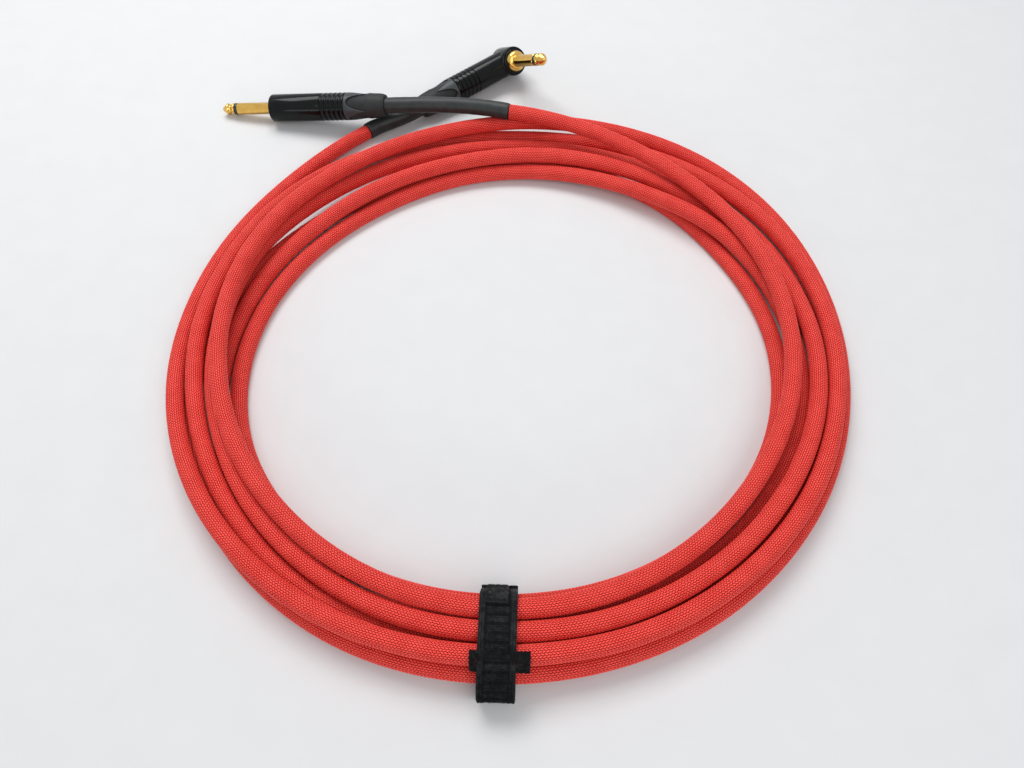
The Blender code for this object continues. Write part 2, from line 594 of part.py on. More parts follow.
def tie(parent, points, looks):
    """One strap: from its slotted head down and under the bundle, up the inside, over the top, out
    through the slot and under once more, to a narrow loose end that lies on top."""
    finish = looks["strap_black"]
    holder = empty("tie_section", Matrix.Rotation(math.radians(TIE_DEG), 4, "Z"), parent)
    at, run_to, corners = bundle_wrap(tie_section(points))
    around = corners[-1]
    first = GAP + TIE_PLY / 2
    second = first + TIE_PLY + GAP
    slot, head, margin = SLOT_L / 2, TIE_HEAD_L / 2, 1 * MM
    fold = [(-head, first), (-slot, first), (slot, 2.4 * MM), (4 * MM, 4.5 * MM), (7 * MM, 6.3 * MM),
            (10 * MM, 6.6 * MM), (12.5 * MM, 5.6 * MM), (14.5 * MM, 3.4 * MM), (17 * MM, second)]
    fold_end = fold[-1][0] + margin
    tab_root = run_to(TAB_ROOT_DEG)
    run = [(head + GAP, first)]
    run += [(c, first) for c in corners if head + margin < c < around - head - margin]
    run += [(around + s, out) for s, out in fold]
    run += [(around + c, second) for c in corners if fold_end < c < tab_root - GAP - margin]
    run += [(around + tab_root - GAP, second)]
    band = strip([at(s, out) for s, out in run], TIE_W, TIE_PLY)
    piece("tie_band", band, finish, holder)

    over, under = 2.2 * MM, 0.9 * MM

    def head_line(reach, steps):
        """Points along the head, which slopes from over the band's end to under its fold."""
        runs = np.linspace(-reach, reach, steps)
        return [at(around + s, over + (under - over) * (s / head + 1) / 2) for s in runs]

    plate = strip(head_line(head, 9), TIE_HEAD_W, TIE_PLY, TIE_HEAD_ASIDE)
    made = piece("tie_head", plate, finish, holder)
    opening = strip(head_line(slot, 5), TIE_W + 2 * GAP, 4 * TIE_PLY)
    boolean(made, piece("head_slot", opening, finish, holder))

    hinge = at(tab_root, second + TIE_PLY / 2)
    tab_end = run_to(90) + TAB_FLAT_L
    ends = [tab_root] + [c for c in corners if tab_root + margin < c < tab_end - margin] + [tab_end]
    path = np.array([at(s, second) for s in ends]) - hinge
    loose = strip(path, TAB_W, TIE_PLY, TAB_ASIDE)
    piece("tie_tab", loose, finish, holder, (hinge[0], 0, hinge[1]))


def build():
    clear_scene()
    looks = {
        "braid": look("red_braid", (0.72, 0.035, 0.03), 0.75),
        "gold": look("gold_plate", (0.83, 0.61, 0.25), 0.22, 1.0),
        "gloss_black": look("gloss_black", (0.012, 0.013, 0.014), 0.18),
        "soft_black": look("soft_black", (0.03, 0.031, 0.032), 0.6),
        "collar_grey": look("collar_grey", (0.075, 0.082, 0.088), 0.42),
        "heat_shrink": look("heat_shrink", (0.04, 0.044, 0.044), 0.55),
        "black_plastic": look("black_plastic", (0.02, 0.02, 0.02), 0.4),
        "grey_plastic": look("grey_plastic", (0.3, 0.3, 0.31), 0.5),
        "strap_black": look("strap_black", (0.015, 0.015, 0.016), 0.9),
        "tinned": look("tinned_brass", (0.6, 0.58, 0.54), 0.35, 1.0),
        "copper": look("copper_braid", (0.7, 0.36, 0.22), 0.4, 1.0),
        "wire_white": look("wire_white", (0.75, 0.74, 0.7), 0.5),
    }
    middle = empty("coil_middle", Matrix.Translation((*COIL_AT, 0)))
    points = lead_route()
    knots = [Vector(point) for point in points]
    lead_coil(points, looks["braid"], middle)
    straight_plug(middle, knots[0], (knots[1] - knots[0]).normalized(), looks)
    angle_plug(middle, knots[-1], (knots[-2] - knots[-1]).normalized(), looks)
    tie(middle, points, looks)


build()
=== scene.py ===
"""Looks of the instrument cable: a red braided lead in a coil, two quarter-inch plugs and a
hook-and-loop tie. Metres, +Z up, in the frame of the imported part."""

import json
import math
from functools import partialmethod
from itertools import product

import bmesh
import bpy
import numpy as np
from mathutils import Matrix, Vector


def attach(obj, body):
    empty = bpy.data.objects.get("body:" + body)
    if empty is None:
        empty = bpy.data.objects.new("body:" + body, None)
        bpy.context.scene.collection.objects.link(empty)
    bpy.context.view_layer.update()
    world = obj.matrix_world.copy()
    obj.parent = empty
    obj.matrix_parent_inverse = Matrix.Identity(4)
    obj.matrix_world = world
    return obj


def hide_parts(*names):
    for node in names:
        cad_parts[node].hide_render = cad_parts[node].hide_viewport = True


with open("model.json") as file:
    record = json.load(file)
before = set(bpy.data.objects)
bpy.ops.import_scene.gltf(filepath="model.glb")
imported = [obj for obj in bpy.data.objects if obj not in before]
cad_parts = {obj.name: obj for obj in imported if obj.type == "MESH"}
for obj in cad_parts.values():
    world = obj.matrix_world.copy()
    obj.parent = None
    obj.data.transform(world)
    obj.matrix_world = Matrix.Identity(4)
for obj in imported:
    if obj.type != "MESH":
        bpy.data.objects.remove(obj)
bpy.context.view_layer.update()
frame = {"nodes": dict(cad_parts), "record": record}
MM = 0.001
GAP = 0.3 * MM

# Sizes and places, as the solids have them
CORD_D = 7.5 * MM
TURNS, POINTS_PER_TURN, STATIONS, END_POINTS_CUT = 7, 24, 8, 2
FLAT_CUT, TURN_SPACING, LAYER_RISE = 0.1 * CORD_D, CORD_D + 0.8 * MM, 7.2 * MM
COIL_AT = np.array((3.56, -15.18, 0)) * MM
TURN_RADII = (
    (132.5, 120.5, 124.5, 129.5, 136.3, 132.5, 127.5, 126),
    (132.5, 146.3, 148, 151, 152.5, 151, 136, 112),
    (110, 111.5, 121, 130, 132.9, 132.5, 121.3, 104.2),
    (103.5, 109, 129, 137, 139.4, 139.3, 123.5, 109),
    (107, 118, 134, 140.5, 143, 137.5, 128.5, 123),
    (122.5, 131, 141, 145, 147.2, 143, 139, 139),
    (131.5, 141, 145, 149.5, 150.9, 150, 145.5, 148.5),
)
TURN_LAYERS = (
    (2.3, 1.6, 1.5, 1, 1, 1, 1.1, 1.2),
    (1.1, 0, 0, 0, 0, 0, 0, 0),
    (0, 0, 0, 0, 0, 0, 0, 0),
    (0, 1, 0, 0, 0, 0, 1, 1),
    (1, 0.5, 1, 1, 1, 1, 1, 0.3),
    (0, 0, 0, 0, 0, 0.3, 1, 0),
    (0, 0.5, 1, 1, 1, 1, 0.7, 0),
)
RADIUS_PAST_END, LAYER_PAST_END = 174, 0.5
TIE_DEG, TIE_W, TIE_PLY, TIE_FLOOR_GAP = 268.3, 14.8 * MM, 0.9 * MM, 0.2 * MM
COIL_R_AT_TIE = 126 * MM
TIE_LIFT, TIE_LIFT_DEG, TAB_ROOT_DEG = 3.8 * MM, 32, 165
TAB_W, TAB_ASIDE, HEAD_DEG = 9.2 * MM, -0.6 * MM, 38
TIE_HEAD_L, TIE_HEAD_W, TIE_HEAD_ASIDE, SLOT_L = 7.2 * MM, 21.5 * MM, 1.7 * MM, 3.4 * MM
FINGER_R, FINGER_L, RING_L = 3.175 * MM, 30.3 * MM, 1.3 * MM
TIP_SHOWN_L = 7.6 * MM           # the photo shows a longer tip than the solid's 6.2 mm
SHELL_R, SHELL_L = 7.25 * MM, 43 * MM
SPIGOT_R, SPIGOT_L, SPIGOT_BORE = 5.2 * MM, 5.5 * MM, 4.3 * MM
BODY_BORE, BORE_BACK = 6.1 * MM, -8 * MM
NECK_R, NECK_HOLE_R, SEAT_R = 3.2 * MM, 3.5 * MM, 3.6 * MM
RIBS, RIB_PITCH, RIB_DEPTH = 5, 2.7 * MM, 0.55 * MM
BOOT_L, BOOT_R, BOOT_TRAVEL, SHRINK_R = 22.5 * MM, 6.35 * MM, 4 * MM, 4.2 * MM
STRAIGHT_TIP = Vector((-160.4, 153.9, 3.45)) * MM
STRAIGHT_ALONG = Vector((0.984, -0.135, 0.135))
ANGLE_HEAD = Vector((-0.9, 186.8, 10.5)) * MM
ANGLE_BARREL = Vector((-0.798, -0.597, -0.060))
ANGLE_FINGER = Vector((-0.477, 0.692, -0.536))
BARREL_L, HEAD_R, HEAD_FRONT, HEAD_BACK, HEAD_FACE_INSET = (
    37.5 * MM, 7.8 * MM, 7.7 * MM, 7.0 * MM, 3.9 * MM)

# Detail of the looks
COLUMNS = 26                     # of stitches, round the braid
STITCH_L, STITCH_RISE, STITCH_LEAN = 1.34 * MM, 0.13 * MM, 0.27
BAND_SHOWN_W, BAND_SHOWN_ASIDE = 13.8 * MM, 0.5 * MM     # a little inside the solid band
TAB_SHOWN_W, TAB_SHOWN_L = 8.2 * MM, -8.4 * MM           # the loose end stops before the top
SELVEDGE_AT, SEAM_W = 4.3 * MM, 0.3 * MM                 # of the band's weave
RUNG_PITCH, THREAD_PITCH, SELVEDGE_PITCH = 3.3 * MM, 0.8 * MM, 0.87 * MM
STRAP_STEP = 0.26 * MM           # between the rows of a strap's mesh
SIDES = 80                       # round a turned piece
TINY = 1e-9                      # a smaller radius is on the axis
rng = np.random.default_rng(7)


# ---------------------------------------------------------------- materials
class Value:
    """A socket that carries a number. Arithmetic on it adds Math nodes."""

    def __init__(self, socket):
        self.socket = socket

    def math(self, operation, *others):
        """The value of an operation on this number and the others."""
        node = self.socket.id_data.nodes.new("ShaderNodeMath")
        node.operation = operation
        for to, value in zip(node.inputs, (self, *others)):
            connect(value, to)
        return Value(node.outputs[0])

    __add__ = partialmethod(math, "ADD")
    __sub__ = partialmethod(math, "SUBTRACT")
    __rsub__ = partialmethod(math, "MULTIPLY_ADD", -1.0)     # -1 times it, plus the other
    __mul__ = partialmethod(math, "MULTIPLY")
    __truediv__ = partialmethod(math, "DIVIDE")
    __mod__ = partialmethod(math, "MODULO")
    __pow__ = partialmethod(math, "POWER")
    __lt__ = partialmethod(math, "LESS_THAN")
    __abs__ = partialmethod(math, "ABSOLUTE")
    at_least = partialmethod(math, "MAXIMUM")
    floor = partialmethod(math, "FLOOR")
    fraction = partialmethod(math, "FRACT")
    cosine = partialmethod(math, "COSINE")


def connect(value, socket):
    """Set a socket to a number or colour, or link it to another socket."""
    value = getattr(value, "socket", value)
    if isinstance(value, bpy.types.NodeSocket):
        socket.id_data.links.new(value, socket)
    else:
        socket.default_value = value


def feed(node, **inputs):
    """Set or link a node's inputs by name. Gives the node."""
    for name, value in inputs.items():
        connect(value, node.inputs[name.replace("_", " ")])
    return node


def add_node(tree, kind, **inputs):
    return feed(tree.nodes.new("ShaderNode" + kind), **inputs)


def material(name, colour, roughness, metallic=0.0, specular=0.5):
    """A Principled material, as (material, node tree, shader)."""
    made = bpy.data.materials.new(name)
    made.use_nodes = True
    made.diffuse_color = (*colour, 1.0)
    tree = made.node_tree
    return made, tree, feed(tree.nodes["Principled BSDF"], Base_Color=(*colour, 1.0),
                            Roughness=roughness, Metallic=metallic, Specular_IOR_Level=specular)


def noise(tree, scale, detail=3.0, roughness=0.5, dimensions="3D", **where):
    """Noise, scale in cells per metre of the row frame, or per unit of the place given."""
    node = tree.nodes.new("ShaderNodeTexNoise")
    node.noise_dimensions = dimensions
    where = where or {"Vector": add_node(tree, "TexCoord").outputs["Object"]}
    feed(node, Scale=scale, Detail=detail, Roughness=roughness, **where)
    return Value(node.outputs["Fac"])


def ramp(value, *stops):
    """The colour at a value between (position, colour) stops."""
    node = add_node(value.socket.id_data, "ValToRGB")
    elements = node.color_ramp.elements
    while len(elements) < len(stops):
        elements.new(0.5)
    for element, (place, colour) in zip(elements, stops):
        element.position = place
        element.color = (*colour, 1.0)
    connect(value, node.inputs[0])
    return node.outputs[0]


def span(value, low, high):
    """A value from 0..1 spread over low..high."""
    return add_node(value.socket.id_data, "MapRange", To_Min=low, To_Max=high,
                    Value=value).outputs["Result"]


def times(colour, factor):
    return tuple(factor * c for c in colour)


def bump(shader, height, distance, strength):
    node = add_node(shader.id_data, "Bump", Strength=strength, Distance=distance, Height=height)
    feed(shader, Normal=node.outputs[0])


def stored(tree, name):
    """The two numbers that a mesh keeps under that name."""
    node = add_node(tree, "Attribute")
    node.attribute_name = name
    parts = add_node(tree, "SeparateXYZ", Vector=node.outputs["Vector"])
    return Value(parts.outputs[0]), Value(parts.outputs[1])


def braid_material():
    """Short stitches that lean one way and the other from column to column, each of a few
    filaments. The colour follows their height: painted shade darkens the gaps between them,
    and a painted pink highlight lies on their crests."""
    made, tree, shader = material("red_braid", (0.62, 0.022, 0.016), 0.5, specular=0.2)
    along, across = stored(tree, "weave")
    odd = across.floor() % 2.0
    place = (along + 0.5 + odd * 0.5).fraction() * 2.0 - 1.0
    aside = across.fraction() - 0.5 - place * STITCH_LEAN * (1.0 - odd * 2.0)
    wide = (abs(aside) / 0.43) ** 2.4
    dash = ((1.0 - wide).at_least(0.0) * (1.0 - abs(place) ** 3.0)) ** 0.6
    filament = (aside * 24.0).cosine()
    height = dash * 0.9 + filament * dash * 0.07
    wear = noise(tree, 160.0)
    tone = height * 0.8 + (wear - 0.5) * 0.22
    # Painted shade and highlight: the lowest stop darkens the gaps, the top pink stop lights the
    # crests, the middle stops are the yarn's red.
    colour = ramp(tone, (0.0, (0.14, 0.001, 0.002)), (0.15, (0.52, 0.005, 0.007)),
                  (0.4, (0.98, 0.034, 0.026)), (0.85, (1.0, 0.15, 0.11)))
    feed(shader, Base_Color=colour, Roughness=span(dash, 0.66, 0.40), Sheen_Weight=0.06,
         Sheen_Roughness=0.4, Sheen_Tint=(1.0, 0.5, 0.45, 1.0))
    bump(shader, height, 0.22 * MM, 0.9)
    return made


def gold_material():
    """Polished plating with fine turning lines and a little cloudy wear."""
    made, tree, shader = material("gold_plate", (0.74, 0.44, 0.11), 0.2, metallic=1.0)
    lines = noise(tree, 9000.0, 2.0, dimensions="1D", W=stored(tree, "turned")[0])
    cloud = noise(tree, 330.0, 4.0)
    colour = ramp(cloud, (0.3, (0.69, 0.4, 0.088)), (0.55, (0.75, 0.455, 0.112)),
                  (0.8, (0.81, 0.51, 0.15)))
    feed(shader, Base_Color=colour, Roughness=span(cloud * 0.7 + lines * 0.3, 0.07, 0.18))
    bump(shader, lines, 0.004 * MM, 0.5)
    return made


def plastic_material(name, colour, low, high, grain, depth, specular=0.5):
    """Moulded plastic or rubber: an even tone, slight cloudiness and a fine grain."""
    made, tree, shader = material(name, colour, low, specular=specular)
    cloud = noise(tree, 240.0, 4.0)
    light = tuple(min(1.0, 1.5 * c + 0.002) for c in colour)
    tone = ramp(cloud, (0.25, times(colour, 0.72)), (0.55, colour), (0.85, light))
    feed(shader, Base_Color=tone, Roughness=span(cloud, low, high))
    bump(shader, noise(tree, grain, 2.0), depth, 0.6)
    return made


def shrink_material():
    """Heat-shrink: a matte dark grey-green skin, wrinkled finely round the lead under it."""
    made, tree, shader = material("heat_shrink", (0.022, 0.026, 0.025), 0.45, specular=0.3)
    along, around = stored(tree, "turned")
    where = add_node(tree, "CombineXYZ", X=along * 900.0, Y=around * 260.0)
    wrinkle = noise(tree, 1.0, dimensions="2D", Vector=where.outputs[0])
    cloud = noise(tree, 210.0, 4.0)
    colour = ramp(cloud, (0.25, (0.016, 0.019, 0.019)), (0.6, (0.027, 0.031, 0.030)),
                  (0.9, (0.045, 0.050, 0.048)))
    feed(shader, Base_Color=colour, Roughness=span(cloud, 0.36, 0.55))
    bump(shader, wrinkle, 0.06 * MM, 0.5)
    return made


def strap_material(name, colour, light, ladder=0.0):
    """Nylon of the tie: dark thread, paler where it is brushed up. The band has a ladder weave
    between two selvedges of a few cords, and painted shade darkens the weave's grooves: the
    rung lines, the seams and the gaps between the selvedge cords."""
    made, tree, shader = material(name, colour, 0.85, specular=0.12)

    def wave(value, period, power=1.0):
        return ((value * (math.tau / period)).cosine() * 0.5 + 0.5) ** power

    fine = noise(tree, 2600.0, roughness=0.7)
    tone = fine * 0.6 + noise(tree, 420.0) * 0.4
    height = fine
    if ladder:
        along, across = stored(tree, "strap")
        aside = abs(across)
        inside = aside < SELVEDGE_AT
        seam = abs(aside - SELVEDGE_AT) < SEAM_W
        rungs = wave(along, RUNG_PITCH / 4) * 0.5 - wave(along, RUNG_PITCH, 5.0)
        middle = rungs + wave(across, THREAD_PITCH) * 0.4
        selvedge = wave(across, SELVEDGE_PITCH) * 0.5 + 0.35
        weave = middle * inside + selvedge * (1.0 - inside) - seam * 1.2
        # Painted shade: the weave darkens the colour in its rung grooves, along the seams and
        # between the selvedge cords.
        tone = tone + weave * ladder
        height = fine + weave * 0.8
    shown = ramp(tone, (0.36, times(colour, 0.3)), (0.52, colour), (0.7, light))
    feed(shader, Base_Color=shown, Roughness=span(fine, 0.7, 0.95), Sheen_Weight=0.05,
         Sheen_Roughness=0.5)
    bump(shader, height, 0.14 * MM, 0.8)
    return made


def metal_material(name, colour):
    """Dull metal inside the plugs."""
    made, tree, shader = material(name, colour, 0.35, metallic=1.0)
    cloud = noise(tree, 500.0)
    feed(shader, Base_Color=ramp(cloud, (0.3, times(colour, 0.7)), (0.7, colour)),
         Roughness=span(cloud, 0.25, 0.5))
    return made


# Each look's name, and what its function asks for after that
PLASTICS = (
    ("gloss_black", (0.0035, 0.0041, 0.0043), 0.11, 0.2, 2500.0, 0.006 * MM, 0.18),
    ("soft_black", (0.018, 0.020, 0.020), 0.5, 0.66, 3500.0, 0.02 * MM, 0.3),
    ("collar_grey", (0.045, 0.052, 0.056), 0.34, 0.46, 3000.0, 0.012 * MM, 0.3),
    ("black_plastic", (0.012, 0.012, 0.012), 0.3, 0.45, 3000.0, 0.01 * MM),
    ("grey_plastic", (0.3, 0.3, 0.31), 0.4, 0.6, 3000.0, 0.01 * MM),
    ("wire_white", (0.72, 0.71, 0.67), 0.4, 0.55, 2500.0, 0.01 * MM),
)
STRAPS = (
    ("strap_black", (0.005, 0.0052, 0.0056), (0.030, 0.031, 0.033), 0.13),
    # strap_pile's dark tone is painted shade: it keeps the head plate as dark as the shadow it lies
    # in under the bundle.
    ("strap_pile", (0.004, 0.0042, 0.0045), (0.032, 0.033, 0.035)),
    # strap_tab's paler tone is painted light, standing for the light on the tab's upward face and
    # its fringe.
    ("strap_tab", (0.021, 0.0215, 0.0225), (0.095, 0.097, 0.10)),
)
METALS = (("tinned_brass", (0.6, 0.58, 0.54)), ("copper_braid", (0.7, 0.36, 0.22)))
LOOKS = {"red_braid": braid_material(), "gold_plate": gold_material(),
         "heat_shrink": shrink_material()}
for make, rows in ((plastic_material, PLASTICS), (strap_material, STRAPS),
                   (metal_material, METALS)):
    LOOKS.update((row[0], make(*row)) for row in rows)


# ---------------------------------------------------------------- pieces
def mesh_of(name, verts, faces, stored_at=None, flat=False):
    """A mesh from arrays: verts (n, 3), faces a list of index arrays (m, 3) or (m, 4), and a
    named corner vector if given as (name, one (m, k, 2) array for each of the faces arrays)."""
    mesh = bpy.data.meshes.new(name)
    faces = [np.asarray(f, np.int32) for f in faces if len(f)]
    corners = np.concatenate([f.ravel() for f in faces])
    sizes = np.concatenate([np.full(len(f), f.shape[1]) for f in faces])
    mesh.vertices.add(len(verts))
    mesh.vertices.foreach_set("co", np.asarray(verts, np.float32).ravel())
    mesh.loops.add(len(corners))
    mesh.loops.foreach_set("vertex_index", corners)
    mesh.polygons.add(len(sizes))
    mesh.polygons.foreach_set("loop_start", np.concatenate([[0], np.cumsum(sizes)[:-1]]))
    mesh.update(calc_edges=True)
    if stored_at:
        label, values = stored_at
        layer = mesh.attributes.new(label, "FLOAT_VECTOR", "CORNER")
        full = np.zeros((len(corners), 3), np.float32)
        full[:, :2] = np.concatenate([np.asarray(v).reshape(-1, 2) for v in values])
        layer.data.foreach_set("vector", full.ravel())
    if not flat:
        mesh.shade_smooth()
    return mesh


def placed(name, data):
    """A new object in the scene."""
    made = bpy.data.objects.new(name, data)
    bpy.context.collection.objects.link(made)
    return made


def add(name, mesh, look_name, body, nodes=(), slot=None, matrix=None):
    """Put a mesh in the scene as a piece of a body that stands for the CAD nodes named."""
    made = placed(name, mesh)
    if matrix is not None:
        mesh.transform(matrix)
    mesh.materials.append(LOOKS[look_name])
    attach(made, body)
    slot or look_name
    if nodes:
        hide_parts(*nodes)
    return made


def turned(name, profile):
    """A mesh turned about +X from (x, radius) points. It keeps x and the length round, in metres,
    under the name turned. A section that ends on the axis is solid there, and any other is closed
    from its last point to its first."""
    profile = np.array(profile, float)
    angles = np.arange(SIDES) * math.tau / SIDES
    verts, rings = [], []
    for x, radius in profile:
        rings.append(len(verts))
        if radius < TINY:
            verts.append((x, 0, 0))
        else:
            verts.extend((x, radius * math.cos(a), radius * math.sin(a)) for a in angles)
    pairs = [(i, i + 1) for i in range(len(profile) - 1)]
    if profile[0, 1] > TINY:
        pairs.append((len(profile) - 1, 0))
    quads, quad_at, tris, tri_at = [], [], [], []
    run = run_along(profile)
    for i, j in pairs:
        a, b, ra, rb = rings[i], rings[j], profile[i, 1], profile[j, 1]
        if max(ra, rb) < TINY:
            continue
        ua, ub = run[i], run[j] if j else run[-1]
        for s in range(SIDES):
            n = (s + 1) % SIDES
            va, vb = (angle * max(ra, rb) for angle in (angles[s], angles[s] + math.tau / SIDES))
            if ra < TINY:
                tris.append((a, b + n, b + s))
                tri_at.append(((ua, va), (ub, vb), (ub, va)))
            elif rb < TINY:
                tris.append((a + s, a + n, b))
                tri_at.append(((ua, va), (ua, vb), (ub, va)))
            else:
                quads.append((a + s, a + n, b + n, b + s))
                quad_at.append(((ua, va), (ua, vb), (ub, vb), (ub, va)))
    values = [v for v in (quad_at, tri_at) if v]
    mesh = mesh_of(name, verts, (quads, tris), ("turned", values))
    outward(mesh, 40)
    return mesh


def outward(mesh, sharp_deg=None):
    """Turn a closed mesh's faces outward, and mark the edges that are sharper than sharp_deg."""
    bm = bmesh.new()
    bm.from_mesh(mesh)
    bmesh.ops.recalc_face_normals(bm, faces=bm.faces)
    bm.to_mesh(mesh)
    bm.free()
    if sharp_deg:
        mesh.set_sharp_from_angle(angle=math.radians(sharp_deg))


def in_mm(*points, start=0.0):
    """Points of a profile in metres, from (x past the start, radius) in millimetres."""
    return [(start + x * MM, r * MM) for x, r in points]


def unit(vectors):
    """Rows of vectors, each at length 1."""
    return vectors / np.linalg.norm(vectors, axis=1)[:, None]


def run_along(points):
    """The length along a path at each of its points."""
    return np.concatenate([[0.0], np.cumsum(np.linalg.norm(np.diff(points, axis=0), axis=1))])


def ring_round(points, radius, angle):
    """Places round a path that never runs upright: a row of radii and angles for each point."""
    tangent = unit(np.gradient(points, axis=0))
    side = unit(np.cross((0, 0, 1), tangent))
    up = np.cross(tangent, side)
    return (points[:, None, :] + (radius * np.cos(angle))[..., None] * side[:, None, :]
            + (radius * np.sin(angle))[..., None] * up[:, None, :])


def two_sheets(run, across, columns):
    """Quads of an outer and an inner sheet of points, with the run and the place across that
    their corners keep. With fewer columns of points than places across, the sheets close."""
    k, c = np.meshgrid(np.arange(len(run) - 1), np.arange(len(across) - 1), indexing="ij")
    corners = [(k, c), (k, c + 1), (k + 1, c + 1), (k + 1, c)]
    faces, values = [], []
    for start, order in ((0, corners), (len(run) * columns, corners[::-1])):
        points = [start + i * columns + j % columns for i, j in order]
        faces.append(np.stack(points, -1).reshape(-1, 4))
        values.append(np.stack([np.stack([run[i], across[j]], -1) for i, j in order],
                               -2).reshape(-1, 4, 2))
    return faces, values


def outer_side(path):
    """The direction to the outer side of a path in the XZ plane, at each of its points."""
    tangent = unit(np.gradient(path, axis=0))
    return np.stack([-tangent[:, 1], tangent[:, 0]], axis=1)


def cubic(u, start, leaving, end, arriving, reach=1.0):
    """The value at u on a cubic from start to end that has the slopes given, times reach."""
    return ((2 * u**3 - 3 * u**2 + 1) * start + (u**3 - 2 * u**2 + u) * reach * leaving
            + (3 * u**2 - 2 * u**3) * end + (u**3 - u**2) * reach * arriving)


def frame_at(origin, along, up=(0, 0, 1)):
    """The matrix of a frame with its x axis along a direction."""
    x = Vector(along).normalized()
    y = Vector(up).cross(x).normalized()
    return Matrix.Translation(origin) @ Matrix((x, y, x.cross(y))).transposed().to_4x4()


# ---------------------------------------------------------------- the lead's route
def smooth_through(values):
    """A natural cubic spline through equally spaced values, as a function of their index."""
    values = np.asarray(values, float)
    count = len(values)
    beside = np.ones(count - 1)
    rows = np.diag(np.full(count, 4.0)) + np.diag(beside, 1) + np.diag(beside, -1)
    rows[0, 0] = rows[-1, -1] = 2.0
    padded = np.concatenate([values[:1], values, values[-1:]])
    slopes = np.linalg.solve(rows, 3 * (padded[2:] - padded[:-2]))

    def at(t):
        i = np.clip(np.floor(t).astype(int), 0, count - 2)
        return cubic(t - i, values[i], slopes[i], values[i + 1], slopes[i + 1])
    return at


def press_apart(radius, height):
    """Push turns of the route that lie closer than their spacing half of the way apart, at the
    points and between them."""
    lines, count = (radius, height), len(radius)
    laps = range(POINTS_PER_TURN, count, POINTS_PER_TURN)
    for step, share in product(laps, (0, 0.25, 0.5, 0.75)):
        width = count - step - 1
        weights = ((1 - share, 0), (share, 1))

        def between(line, start):
            return sum(w * line[start + o:start + o + width] for w, o in weights)
        apart = [between(line, step) - between(line, 0) for line in lines]
        distance = np.hypot(*apart) + TINY
        lacking = np.maximum(0, TURN_SPACING - distance)
        push = 0.45 * lacking / (share**2 + (1 - share)**2) / distance
        for line, offset in zip(lines, apart):
            for weight, o in weights:
                line[o:o + width] -= weight * push * offset
                line[step + o:step + o + width] += weight * push * offset


def ease(line, share):
    """Draw each inner value by that share towards the one before and the one after it."""
    line[1:-1] = (1 - 2 * share) * line[1:-1] + share * (line[:-2] + line[2:])


def lead_route():
    """Angle, radius and height of the points that the solid lead follows, about the coil's
    middle: the turns sink from their layers until they rest on the floor and on each other."""
    settle_steps, press_steps, sink = 380, 120, 0.06 * MM
    count = TURNS * POINTS_PER_TURN - END_POINTS_CUT + 1
    index = np.arange(count)
    station = index * STATIONS / POINTS_PER_TURN
    degrees = 90 - index * 360 / POINTS_PER_TURN
    from_tie = (degrees - TIE_DEG + 180) % 360 - 180
    lift = np.cos(np.clip(from_tie / TIE_LIFT_DEG, -1, 1) * math.pi / 2) ** 2
    floor = CORD_D / 2 - FLAT_CUT + TIE_LIFT * lift
    floor[-1] = SHRINK_R + GAP / 2
    radii = [r for turn in TURN_RADII for r in turn] + [RADIUS_PAST_END]
    layers = [n for turn in TURN_LAYERS for n in turn] + [LAYER_PAST_END]
    chosen = smooth_through(radii)(station) * MM
    radius = chosen.copy()
    height = floor + np.interp(station, np.arange(len(layers)), layers) * LAYER_RISE
    for step in range(settle_steps + press_steps):
        if step < settle_steps:
            height -= sink
            shift = radius - chosen
            ease(shift, 0.25)
            radius = chosen + 0.94 * shift
            ease(height, 0.2)
        press_apart(radius, height)
        height = np.maximum(height, floor)
    return np.radians(degrees), radius, height


def cartesian(angle, radius, height):
    return np.stack([radius * np.cos(angle), radius * np.sin(angle), height], axis=1)


ANGLES, RADII, HEIGHTS = lead_route()
KNOTS = cartesian(ANGLES, RADII, HEIGHTS)


def fine_route(spacing):
    """The same route on a smooth curve, about the coil's middle, at even steps of its length."""
    parts = 40
    t = np.arange((len(KNOTS) - 1) * parts + 1) / parts
    dense = cartesian(np.interp(t, np.arange(len(ANGLES)), ANGLES), smooth_through(RADII)(t),
                      smooth_through(HEIGHTS)(t))
    run = run_along(dense)
    steps = np.linspace(0, run[-1], int(round(run[-1] / spacing)) + 1)
    return np.stack([np.interp(steps, run, dense[:, i]) for i in range(3)], axis=1), run[-1]


